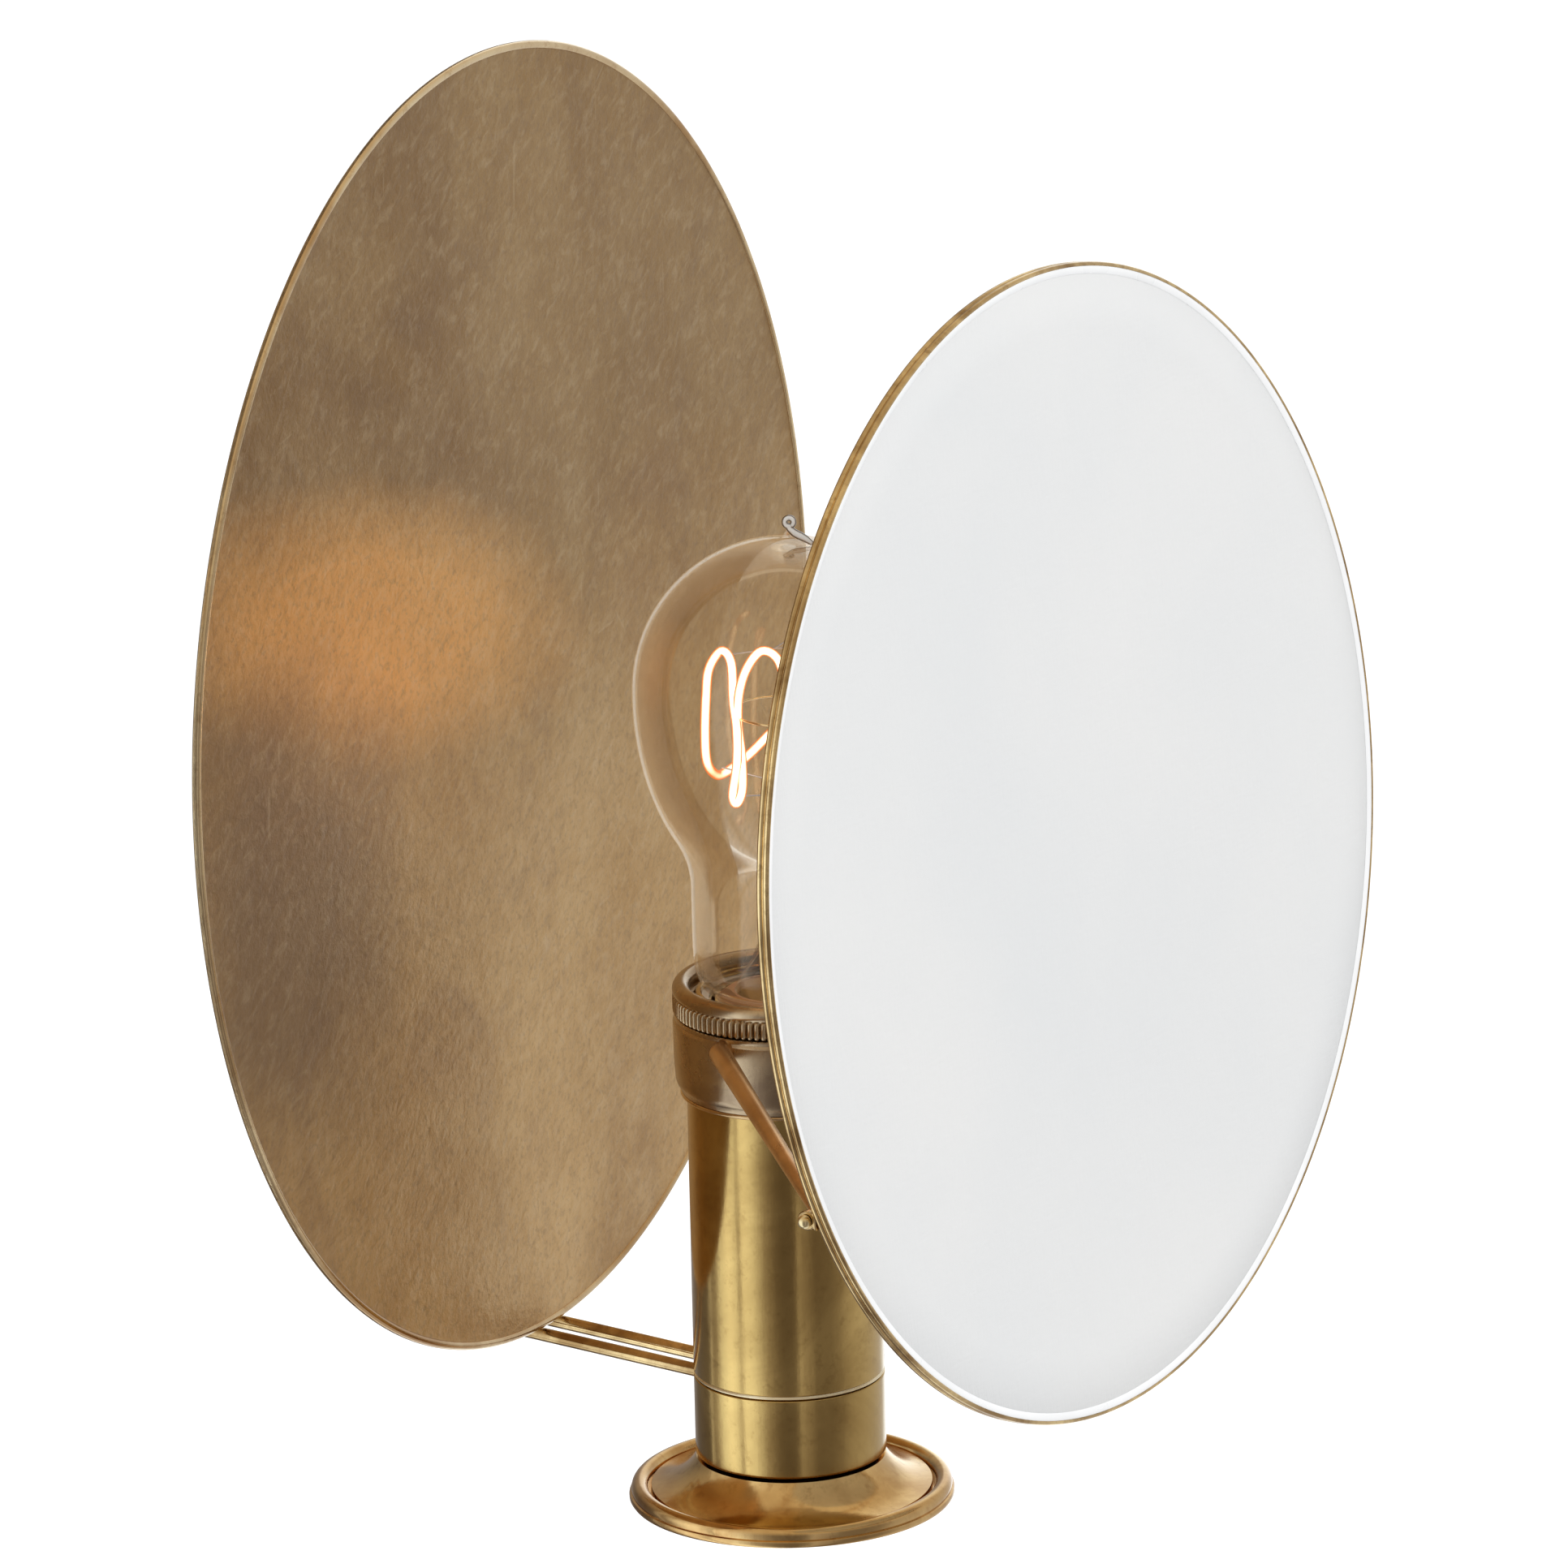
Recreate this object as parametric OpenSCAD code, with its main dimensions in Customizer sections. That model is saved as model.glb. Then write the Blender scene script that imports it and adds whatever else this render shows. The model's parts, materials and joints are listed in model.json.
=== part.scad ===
// Electric wall sconce in aged brass, millimetres.
// A candle-like tube with one clear lamp stands between a tall round reflector on the wall
// side and a smaller round diffuser on the room side.
// +Z is up, the wall is the plane Y = 0, and the room is towards -Y.
// The origin is the centre of the wall plate's back face.

/* [Layout] */
// Distance from the wall to the axis of the tube
stand_off = 85; // [80:1:95]
// Height of the wall plate's centre above the bottom of the tube
lamp_drop = 147.6; // [145:0.1:155]
// Turn of the collar and its diffuser about the tube, from straight ahead
collar_turn = -5.4; // [-20:0.1:20]

/* [Wall plate] */
// Diameter of the wall cover
cover_d = 114; // [112:1:120]
// Depth of the wall cover
cover_depth = 16; // [14:1:18]
// Spacing of the two wall screws
screw_spacing = 88.9; // [84:0.1:90]
// Diameter of a wall screw slot
slot_d = 4.8; // [4:0.1:5.5]
// Length of a wall screw slot, end to end
slot_length = 10; // [8:0.5:11]

/* [Reflector] */
// Diameter of the reflector
reflector_d = 256; // [220:1:256]
// Distance from the tube axis back to the middle of the reflector
reflector_back = 57; // [56:0.5:58]
// Lean of the reflector, its top edge towards the wall
reflector_lean = 2.6; // [1:0.1:3]

/* [Tube] */
// Outer diameter of the tube
tube_d = 37.5; // [37.5:0.1:38]
// Wall thickness of the tube
tube_wall = 1.2; // [1:0.1:1.2]
// Height of the lower cup, up to the seam
seam_z = 16.6; // [16.5:0.1:20]
// Outer diameter of the flared foot
foot_d = 64; // [64:0.1:66]
// Diameter of the two support rods
rod_d = 2.7; // [2.5:0.1:2.8]
// Upward slope of the support rods towards the wall
rod_rise = 4.8; // [3:0.1:5]

/* [Collar and diffuser] */
// Height of the collar's lower edge above the bottom of the tube
collar_z = 74; // [70:0.5:76]
// Height of the collar's top edge above the bottom of the tube
collar_top = 90.4; // [90.2:0.1:90.6]
// Largest diameter of the collar
collar_d = 42.4; // [42:0.1:44]
// Outer diameter of the diffuser's rim
diffuser_d = 223; // [220:1:226]
// Depth of the diffuser's rim
rim_depth = 2.7; // [2.7:0.1:4]
// Lean of the diffuser, its top edge towards the lamp
diffuser_lean = 5.5; // [0:0.1:8]
// Diameter of a diffuser arm
arm_d = 3.5; // [3:0.1:3.6]
// Reach of the arms in front of the tube axis
arm_reach = 68.3; // [64:0.1:70]
// Half the distance between the arms' outer ends
arm_spread = 101.6; // [101:0.1:102]

/* [Lamp] */
// Diameter of the glass bulb
bulb_d = 60; // [56:1:60]
// Height of the middle of the round part above the bottom of the tube
bulb_z = 155.5; // [150:0.5:156]
// Lean of the glass on its base
glass_lean = 2.2; // [0:0.1:2.4]

/* [Hidden] */
$fn = 96;
sheet = 1.2;
tube_r = tube_d / 2;
tube_in = tube_r - tube_wall;

// wall plate
strap_t = 2;
strap_w = 30;
strap_half = 52;
ear_depth = 11;
side_screw_y = -7;
cover_r = cover_d / 2;
nipple_r = 5;
nipple_bore = 3.5;
nipple_hole = 5.1;
hub_r = 15;
block_w = 26;
block_depth = 8.5;
block_top = 9;
block_bottom = -20;
block_front = cover_depth + block_depth;
rod_run_y = -(cover_depth + block_depth / 2);
rod_top = -8;
rod_bend = 6;

// reflector
reflector_r = reflector_d / 2;
reflector_y = -(stand_off - reflector_back);
reflector_t = 1;
lip_r = 0.9;

// support rods, in the lamp's own frame
rod_x = 4.05;
rod_r = rod_d / 2;
rod_z = 15.1;
rod_inner_y = 11.2;
lap = 0.3;
run_y = stand_off + rod_run_y;
bend_y = run_y - rod_bend;
bend_start_y = bend_y + rod_bend * sin(rod_rise);
bend_z = rod_z + (bend_start_y - tube_r) * tan(rod_rise) + rod_bend * cos(rod_rise);

// socket and lock nuts
nut_r = 8;
nut_h = 4;
cup_floor = 1.6;
socket_plate_z = 52;
socket_z = 58.4;
socket_floor = 64;
socket_top = 93.6;
socket_r = 16.4;
skirt_r = 17.3;
skirt_top = 95;
shell_in = 13.6;
sleeve_top = 88.6;
wire_y = 9;

// collar, ring and arms
ring_z = collar_top + 0.2;
ring_top = 97;
reed_top = 94.4;
reeds = 96;
pivot_z = 88.1;
collar_bore = tube_r + 0.07;
pin_clear = 0.05;
arm_r = arm_d / 2;
arm_root_r = arm_r + 0.35;
arm_tip_r = arm_r - 0.35;
arm_root = collar_d / 2 + 1.6;
elbow_swell = 0.1;

// diffuser, in its own leaning frame with the front face in the XZ plane
hinge_back = 4.7;
hinge_drop = 45.8;
rim_r = diffuser_d / 2;
panel_r = rim_r - 1.4;
panel_front = 0.4;
panel_t = 1.5;
eye_r = 1.9;
lug_t = 1.4;
lug_out = 0.2;
arm_stub = 5;
screw_r = 0.8;
screw_head_r = 1.3;
diffuser_y = -arm_reach - hinge_back * cos(diffuser_lean) + hinge_drop * sin(diffuser_lean);
diffuser_z = pivot_z + hinge_back * sin(diffuser_lean) + hinge_drop * cos(diffuser_lean);

// lamp
bulb_r = bulb_d / 2;
neck_r = 17.9;
neck_slope = 3;
belly = 43;
belly_end = 45;
tip_r = 1.5;
glass_t = 0.8;
base_top = 93;
base_bottom = 71;
base_r = 13.2;
lean_axis = [0.893, 0.451, 0];
cage_r = 14;
cage_low = 135;
cage_high = 163.5;
cage_legs = 7;
button_z = 131;
mast_top = 165;
hook_gap = 0.75;

// Points along an arc, centre c, radius r, from angle a to angle b
function arc(c, r, a, b, n = 12) =
    [for (i = [0:n]) c + r * [cos(a + (b - a) * i / n), sin(a + (b - a) * i / n)]];

// The lamp's frame: the tube axis is Z, and Z = 0 is the bottom of the tube
module lamp_frame() {
    translate([0, -stand_off, -lamp_drop]) children();
}

// The collar's frame: the lamp's frame, turned with the collar
module collar_frame() {
    lamp_frame() rotate([0, 0, collar_turn]) children();
}

// The diffuser's frame: origin in the middle of its front face
module diffuser_frame() {
    collar_frame() translate([0, diffuser_y, diffuser_z]) rotate([-diffuser_lean, 0, 0]) children();
}

// The glass's frame: leaning about the top of the lamp base
module glass_frame() {
    lamp_frame()
        translate([0, 0, base_top]) rotate(a = glass_lean, v = lean_axis)
            translate([0, 0, -base_top]) children();
}

module both_sides() {
    for (side = [-1, 1]) scale([side, 1, 1]) children();
}

// A hexagon nut or a threaded tube seen as its plain cylinder
module ring_piece(outer, inner, z, h, sides = 0) {
    difference() {
        translate([0, 0, z]) cylinder(r = outer, h = h, $fn = sides > 0 ? sides : $fn);
        translate([0, 0, z - 1]) cylinder(r = inner, h = h + 2);
    }
}

// ---- wall plate ----

module slot_cut(x) {
    straight = slot_length - slot_d;
    for (end = [-1, 1])
        translate([x + end * straight / 2, 1, 0]) rotate([90, 0, 0])
            cylinder(d = slot_d, h = strap_t + 2);
    translate([x - straight / 2, -strap_t - 1, -slot_d / 2])
        cube([straight, strap_t + 2, slot_d]);
}

module wall_strap() color("silver") difference() {
    union() {
        translate([-strap_half, -strap_t, -strap_w / 2])
            cube([2 * strap_half, strap_t, strap_w]);
        both_sides() translate([strap_half - strap_t, -ear_depth, -strap_w / 4])
            cube([strap_t, ear_depth, strap_w / 2]);
    }
    for (side = [-1, 1]) slot_cut(side * screw_spacing / 2);
    translate([0, 1, 0]) rotate([90, 0, 0]) cylinder(r = nipple_r + 0.02, h = strap_t + 2);
    both_sides() translate([strap_half - strap_t - 1, side_screw_y, 0])
        rotate([0, 90, 0]) cylinder(r = 1.6, h = strap_t + 2);
}

module wall_cover() color("goldenrod") difference() {
    rotate([90, 0, 0]) rotate_extrude($fn = 128) polygon(concat(
        [[nipple_hole, cover_depth - sheet], [cover_r - 3.5, cover_depth - sheet]],
        arc([cover_r - 3.5, cover_depth - 3.5], 3.5 - sheet, 90, 0, 4),
        [[cover_r - sheet, 0], [cover_r, 0]],
        arc([cover_r - 3.5, cover_depth - 3.5], 3.5, 0, 90, 6),
        [[nipple_hole, cover_depth]]
    ));
    both_sides() translate([cover_r - 4, side_screw_y, 0]) rotate([0, 90, 0])
        cylinder(r = 2, h = 8);
}

module cover_screws() color("goldenrod") both_sides()
    translate([0, side_screw_y, 0]) rotate([0, 90, 0]) {
        translate([0, 0, strap_half - strap_t - 2]) cylinder(r = 1.55, h = cover_r - strap_half + 4.2);
        translate([0, 0, cover_r + 0.1]) cylinder(r = 3.2, h = 2.4);
    }

module hub_nipple() color("gold") rotate([90, 0, 0])
    ring_piece(nipple_r, nipple_bore, 0, block_front + 1.8);

module hub_nut() color("silver") rotate([90, 0, 0])
    ring_piece(nut_r, nipple_r + 0.02, strap_t, nut_h, 6);

module rod_block() color("goldenrod") difference() {
    translate([-block_w / 2, -block_front, block_bottom])
        cube([block_w, block_depth, block_top - block_bottom]);
    rotate([90, 0, 0]) cylinder(r = nipple_hole, h = block_front + 1);
    for (side = [-1, 1]) {
        translate([side * rod_x, rod_run_y, block_bottom - 1])
            cylinder(r = rod_r + 0.05, h = rod_top - block_bottom + 1);
        translate([side * block_w / 2, rod_run_y, (block_bottom + rod_top) / 2])
            rotate([0, -90 * side, 0]) cylinder(r = 1.5, h = block_w / 2 - rod_x);
    }
}

module block_screws() color("silver") for (side = [-1, 1])
    translate([side * (rod_x + rod_r + 0.1), rod_run_y, (block_bottom + rod_top) / 2])
        rotate([0, 90 * side, 0]) cylinder(r = 1.45, h = 5);

// ---- reflector ----

module reflector_frame() {
    translate([0, reflector_y, 0]) rotate([-reflector_lean, 0, 0]) children();
}

module reflector_hub() color("goldenrod") difference() {
    intersection() {
        translate([0, -block_front, 0]) rotate([90, 0, 0]) cylinder(r = hub_r, h = 6);
        reflector_frame() translate([-hub_r - 1, reflector_t + 0.02, -hub_r - 1])
            cube([2 * hub_r + 2, 20, 2 * hub_r + 2]);
    }
    rotate([90, 0, 0]) cylinder(r = nipple_r + 0.02, h = block_front + 1.9);
}

module reflector() color("darkkhaki") reflector_frame() rotate([-90, 0, 0])
    rotate_extrude($fn = 180) union() {
        square([reflector_r - lip_r, reflector_t]);
        translate([reflector_r - lip_r, lip_r / 2]) circle(r = lip_r, $fn = 24);
    }

// ---- support rods ----

module rod_path(r) {
    translate([rod_x, tube_r, rod_z]) rotate([rod_rise, 0, 0]) {
        translate([0, rod_inner_y - tube_r, 0]) rotate([-90, 0, 0])
            cylinder(r = r, h = (bend_start_y - tube_r) / cos(rod_rise) + tube_r - rod_inner_y + lap);
    }
    translate([rod_x, bend_y, bend_z]) rotate([90, 0, 90]) rotate([0, 0, rod_rise - 90])
        rotate_extrude(angle = 90 - rod_rise) translate([rod_bend, 0]) circle(r = r + elbow_swell, $fn = 32);
    translate([rod_x, run_y, bend_z - lap]) cylinder(r = r, h = lamp_drop + rod_top - bend_z + lap);
}

module support_rod(side) color("goldenrod") lamp_frame() scale([side, 1, 1]) rod_path(rod_r);

module rod_left() { support_rod(-1); }
module rod_right() { support_rod(1); }

module rod_nuts() color("silver") lamp_frame() both_sides()
    translate([rod_x, tube_r, rod_z]) rotate([rod_rise, 0, 0])
        translate([0, rod_inner_y + 0.4 - tube_r, 0]) rotate([-90, 0, 0])
            ring_piece(2.8, rod_r + 0.02, 0, 2, 6);

// ---- tube ----

module lower_cup() color("goldenrod") lamp_frame() difference() {
    rotate_extrude() polygon([
        [nipple_hole, 0], [tube_r - 0.6, 0], [tube_r - 0.17, 0.17], [tube_r, 0.6],
        [tube_r, seam_z - 0.25], [tube_r - 0.25, seam_z], [tube_in - 0.1, seam_z],
        [tube_in - 0.1, seam_z + 7], [tube_in - 1.3, seam_z + 7],
        [tube_in - 1.3, seam_z - 6], [tube_in, seam_z - 7.3],
        [tube_in, cup_floor], [nipple_hole, cup_floor]
    ]);
    both_sides() translate([rod_x, tube_r, rod_z]) rotate([rod_rise, 0, 0])
        translate([0, -8, 0]) rotate([-90, 0, 0]) cylinder(r = rod_r + 0.05, h = 12);
}

module foot() color("goldenrod") lamp_frame() rotate_extrude($fn = 128) {
    r = foot_d / 2;
    cove = [r - 2.7, 5.5];
    polygon(concat(
        [[nipple_hole, -1.7], [nipple_hole, -0.5], [r - 14.6, -0.5]],
        arc(cove, 12.3, 210, 263, 12),
        [[r - 4, -7.2]],
        arc([r - 2.1, -7.35], 1.65, 165, -15, 10),
        [[r - 0.15, -8.2], [r, -8.8], [r - 0.3, -9.4], [r - 1.6, -9.4], [r - 2.6, -8.3]],
        arc(cove, 13.5, 262, 212, 12),
        [[r - 15.8, -1.7]]
    ));
}

module foot_nut() color("goldenrod") lamp_frame() difference() {
    union() {
        translate([0, 0, -4.3]) cylinder(r = 7.5, h = 2.5);
        intersection() {
            translate([0, 0, -4.3]) sphere(r = 6.5);
            translate([0, 0, -9.5]) cylinder(r = 10, h = 5.2);
        }
        translate([0, 0, -8.3]) cylinder(r = 2, h = 2);
    }
    translate([0, 0, -6.6]) cylinder(r = nipple_r + 0.02, h = 8);
}

module lamp_nipple() color("silver") lamp_frame()
    ring_piece(nipple_r, nipple_bore, -6.4, socket_plate_z + 2 + nut_h + 6.4);

module cup_nut() color("silver") lamp_frame()
    ring_piece(nut_r, nipple_r + 0.02, cup_floor, nut_h, 6);

module tube_sleeve() color("goldenrod") lamp_frame() rotate_extrude() polygon([
    [tube_in, seam_z + 0.25], [tube_r - 0.25, seam_z + 0.25], [tube_r, seam_z + 0.5],
    [tube_r, sleeve_top], [tube_in, sleeve_top]
]);

// ---- socket ----

module socket_plate() color("silver") lamp_frame() difference() {
    ring_piece(tube_in - 0.1, nipple_hole, socket_plate_z, 2);
    both_sides() translate([rod_x, wire_y, socket_plate_z - 1]) cylinder(r = 1.6, h = 4);
}

module socket_nut() color("silver") lamp_frame()
    ring_piece(nut_r, nipple_r + 0.02, socket_plate_z + 2, nut_h, 6);

module socket_body() color("beige") lamp_frame() difference() {
    translate([0, 0, socket_z]) cylinder(r = socket_r, h = socket_top - socket_z);
    translate([0, 0, socket_floor]) cylinder(r = shell_in + 0.5, h = socket_top);
    both_sides() translate([rod_x, wire_y, socket_z - 1]) cylinder(r = 0.9, h = 3);
}

module socket_skirt() color("goldenrod") lamp_frame() rotate_extrude() polygon([
    [socket_r + 0.05, socket_z + 1], [skirt_r, socket_z + 1], [skirt_r, skirt_top - 0.3],
    [skirt_r - 0.3, skirt_top], [socket_r - 0.9, skirt_top],
    [socket_r - 0.9, socket_top + 0.1], [socket_r + 0.05, socket_top + 0.1]
]);

module socket_shell() color("gold") lamp_frame()
    ring_piece(shell_in + 0.4, shell_in, socket_floor + 0.4, socket_top - socket_floor - 1.2);

module centre_contact() color("gold") lamp_frame() {
    translate([0, 0, socket_floor + 0.05]) cylinder(r = 4, h = 1);
    translate([0, 0, socket_floor + 1]) cylinder(r = 2.2, h = 2);
}

module lead_wires() color("ivory") lamp_frame() both_sides() {
    translate([rod_x, wire_y, rod_z - 1]) cylinder(r = 0.7, h = socket_z + 2 - rod_z);
    translate([rod_x, wire_y, rod_z - 1]) sphere(r = 0.7, $fn = 24);
    translate([rod_x, wire_y, rod_z - 1]) rotate([-90, 0, 0])
        cylinder(r = 0.7, h = rod_inner_y - wire_y - 0.1);
}

// ---- collar, ring and arms ----

module collar() color("darkgoldenrod") collar_frame() difference() {
    rotate_extrude() {
        r = collar_d / 2;
        polygon(concat(
            [[collar_bore, collar_z], [r - 1.6, collar_z]],
            arc([r - 3.4, collar_z + 3.9], 3.1, -40, -5, 5),
            [[r - 0.05, collar_z + 8], [r, collar_top - 1.5], [r - 0.3, collar_top - 0.9],
             [r - 0.3, collar_top], [skirt_r + 0.25, collar_top],
             [skirt_r + 0.25, sleeve_top + 0.2], [collar_bore, sleeve_top + 0.2]]
        ));
    }
    both_sides() translate([collar_bore, 0, pivot_z]) rotate([0, 90, 0])
        cylinder(r = arm_r + pin_clear, h = 4);
}

// One reed is a rounded tooth; a low step of its outline is this far in from the top
module reed_band() {
    outer = collar_d / 2;
    step = 360 / reeds;
    linear_extrude(height = reed_top - ring_z) difference() {
        polygon([for (i = [0:reeds - 1]) for (p = [[0.12, 0.45], [0.3, 0], [0.7, 0], [0.88, 0.45]])
            (outer - p[1]) * [cos((i + p[0]) * step), sin((i + p[0]) * step)]]);
        circle(r = skirt_r + 0.08);
    }
}

module reeded_ring() color("darkgoldenrod") lamp_frame() union() {
    translate([0, 0, ring_z]) reed_band();
    rotate_extrude() {
        r = collar_d / 2;
        polygon(concat(
            [[skirt_r + 0.08, reed_top - 0.5], [r - 1, reed_top - 0.5], [r - 0.2, reed_top],
             [r, reed_top + 0.4]],
            arc([r - 1.7, ring_top - 1.7], 1.7, 0, 90, 6),
            [[r - 2.4, ring_top], [r - 3.1, ring_top - 0.7], [skirt_r + 0.5, ring_top - 1.6],
             [skirt_r + 0.08, ring_top - 2.2]]
        ));
    }
}

// Both ends of an arm are bent parallel to the axes they turn on
module arm_shape() {
    run = [arm_spread - arm_stub - arm_root, -arm_reach];
    translate([collar_bore + 0.15, 0, 0]) rotate([0, 90, 0])
        cylinder(r = arm_r, h = arm_root - collar_bore - 0.15);
    translate([arm_root, 0, 0]) rotate([90, 0, 0]) sphere(r = arm_root_r + elbow_swell, $fn = 48);
    translate([arm_root, 0, 0]) rotate([0, 0, atan2(run[1], run[0])]) rotate([0, 90, 0])
        cylinder(r1 = arm_root_r, r2 = arm_tip_r, h = norm(run));
    translate([arm_spread - arm_stub, -arm_reach, 0]) rotate([90, 0, 0])
        sphere(r = arm_tip_r + elbow_swell, $fn = 48);
    translate([arm_spread - arm_stub, -arm_reach, 0]) rotate([0, 90, 0])
        cylinder(r = arm_tip_r - 0.1, h = arm_stub - lug_out - lug_t - 0.2);
}

module diffuser_arm(side) color("peru") collar_frame() scale([side, 1, 1])
    translate([0, 0, pivot_z]) difference() {
        arm_shape();
        translate([arm_spread - 6, -arm_reach, 0]) rotate([0, 90, 0])
            cylinder(r = screw_r + 0.02, h = 8);
    }

module arm_left() { diffuser_arm(-1); }
module arm_right() { diffuser_arm(1); }

module arm_screws() color("gold") collar_frame() both_sides()
    translate([arm_spread - 5.8, -arm_reach, pivot_z]) rotate([0, 90, 0]) {
        cylinder(r = screw_r, h = 6.2);
        translate([0, 0, 6 - lug_out]) intersection() {
            translate([0, 0, 0.4]) sphere(r = screw_head_r, $fn = 48);
            cylinder(r = 3, h = 3);
        }
    }

// ---- diffuser ----

module diffuser_rim() color("goldenrod") diffuser_frame() rotate([-90, 0, 0])
    rotate_extrude($fn = 180) {
        bead = rim_depth / 4;
        polygon(concat(
            [[panel_r - 0.6, 0.15], [panel_r - 0.3, 0]],
            arc([rim_r - bead, bead], bead, -90, 60, 8),
            arc([rim_r - bead, 3 * bead], bead, -60, 90, 8),
            [[panel_r + 0.1, rim_depth], [panel_r + 0.1, panel_front],
             [panel_r - 0.6, panel_front]]
        ));
    }

// Small eyes soldered to the back of the rim, one on each side
module rim_lugs() color("goldenrod") diffuser_frame() both_sides() difference() {
    union() {
        translate([arm_spread - lug_out - lug_t, hinge_back, -hinge_drop]) rotate([0, 90, 0])
            cylinder(r = eye_r, h = lug_t);
        translate([arm_spread - lug_out - lug_t, rim_depth + 0.02, -hinge_drop - 2])
            cube([lug_t, hinge_back - rim_depth, 4]);
    }
    translate([arm_spread - 6, hinge_back, -hinge_drop]) rotate([0, 90, 0])
        cylinder(r = screw_r + 0.05, h = 8);
}

module diffuser_panel() color("white") diffuser_frame() rotate([-90, 0, 0])
    translate([0, 0, panel_front + 0.05]) cylinder(r = panel_r, h = panel_t, $fn = 180);

module panel_ring() color("goldenrod") diffuser_frame() rotate([-90, 0, 0])
    ring_piece(panel_r, panel_r - 3, panel_front + panel_t + 0.1, 0.6, 0);

// ---- lamp ----

// Outline of the glass from its base to its crown; inset moves it inwards.
// A concave arc joins the neck to a long lower belly, and the upper half is a sphere.
function glass_outline(inset) =
    let (
        slope = atan(bulb_r * sin(belly_end) / (belly * cos(belly_end))),
        joint = [bulb_r * cos(belly_end), bulb_z - belly * sin(belly_end)],
        fillet = (joint[0] - neck_r) / (cos(neck_slope) - cos(slope)),
        centre = [neck_r + fillet * cos(neck_slope), joint[1] - fillet * sin(slope)]
    )
    concat(
        [[base_r - 0.3 - inset, base_top - 2], [base_r - 0.3 - inset, base_top + 0.6],
         [neck_r - 1.6 - inset, base_top + 4], [neck_r - 0.6 - inset, base_top + 9]],
        arc(centre, fillet + inset, 180 - neck_slope, 180 - slope, 8),
        [for (i = [1:11]) let (a = belly_end * (1 - i / 11))
            [(bulb_r - inset) * cos(a), bulb_z - (belly - inset) * sin(a)]],
        [for (i = [1:15]) let (a = 87 * i / 15)
            [(bulb_r - inset) * cos(a), bulb_z + (bulb_r - inset) * sin(a)]]
    );

// The glass ends in the little bead left where it was sealed
module bulb_glass() color("whitesmoke", 0.35) intersection() {
    crown = bulb_z + bulb_r;
    glass_frame() rotate_extrude() difference() {
        polygon(concat(
            glass_outline(0),
            [[0.9, crown + 1.6], [0.7, crown + 2.4]],
            arc([0, crown + 3.6], tip_r, -60, 90, 8),
            [[0, base_top - 2]]
        ));
        polygon(concat(
            glass_outline(glass_t),
            [[0, crown - glass_t], [0, base_top - 3], [base_r - 2, base_top - 3]]
        ));
    }
    lamp_frame() translate([-50, -50, base_top + 0.05]) cube([100, 100, 120]);
}

module bulb_stem() color("whitesmoke", 0.5) glass_frame() {
    translate([0, 0, base_top + 1.4]) cylinder(r1 = 9, r2 = 3.2, h = 12);
    translate([0, 0, base_top + 13]) cylinder(r = 2.6, h = button_z - base_top - 13);
    translate([0, 0, button_z]) sphere(r = 3.2, $fn = 32);
}

function cage_point(i, z, r = cage_r) =
    [r * cos(i * 180 / cage_legs), r * sin(i * 180 / cage_legs), z];

// A thin straight wire between two points
module wire(a, b, r) {
    d = b - a;
    translate(a) rotate([0, acos(d[2] / norm(d)), atan2(d[1], d[0])])
        cylinder(r = r, h = norm(d), $fn = 16);
}

// A mast with fine wires that reach out to the bends of the filament
module filament_supports() color("gray") glass_frame() {
    translate([0, 0, button_z + 3.4]) cylinder(r = 1, h = mast_top - button_z - 3.4, $fn = 32);
    for (i = [0:cage_legs - 1]) {
        wire(cage_point(2 * i, cage_low + 1, 0.7), cage_point(2 * i, cage_low + 1, cage_r - hook_gap), 0.2);
        wire(cage_point(2 * i + 1, cage_high - 1, 0.7),
             cage_point(2 * i + 1, cage_high - 1, cage_r - hook_gap), 0.2);
    }
}

// The filament goes up and down round a cage, open at one side
module filament() color("orange") glass_frame() for (i = [0:2 * cage_legs - 2]) {
    low = i % 2 == 0;
    start = cage_point(i, low ? cage_low : cage_high);
    wire(start, cage_point(i + 1, low ? cage_high : cage_low), 0.4);
    translate(start) sphere(r = 0.6, $fn = 24);
}

module bulb_base() color("gold") lamp_frame() rotate_extrude() polygon(concat(
    [[base_r - 0.6, base_top], [base_r - 0.2, base_top]],
    [for (i = [0:10]) [base_r - (i % 2 == 0 ? 0.7 : 0), base_top - 2.5 - i * 1.6]],
    [[7, base_bottom], [6.4, base_bottom], [base_r - 1.4, base_top - 19],
     [base_r - 1.4, base_top - 2], [base_r - 0.6, base_top - 1]]
));

module bulb_insulator() color("black") lamp_frame()
    translate([0, 0, base_bottom - 2.4]) cylinder(r1 = 4.2, r2 = 6.3, h = 3.4);

module bulb_contact() color("silver") lamp_frame()
    translate([0, 0, base_bottom - 3.5]) cylinder(r = 2.4, h = 1.05);

wall_strap();
wall_cover();
cover_screws();
hub_nipple();
hub_nut();
rod_block();
block_screws();
reflector_hub();
reflector();
rod_left();
rod_right();
rod_nuts();
lower_cup();
foot();
foot_nut();
lamp_nipple();
cup_nut();
tube_sleeve();
socket_plate();
socket_nut();
socket_body();
socket_skirt();
socket_shell();
centre_contact();
lead_wires();
collar();
reeded_ring();
arm_left();
arm_right();
arm_screws();
diffuser_rim();
rim_lugs();
diffuser_panel();
panel_ring();
bulb_glass();
bulb_stem();
filament_supports();
filament();
bulb_base();
bulb_insulator();
bulb_contact();
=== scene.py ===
"""Electric wall sconce in aged brass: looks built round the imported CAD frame."""

import json
from math import atan, cos, degrees, pi, radians, sin, tan

import bmesh
import bpy
from mathutils import Matrix, Vector

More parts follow.
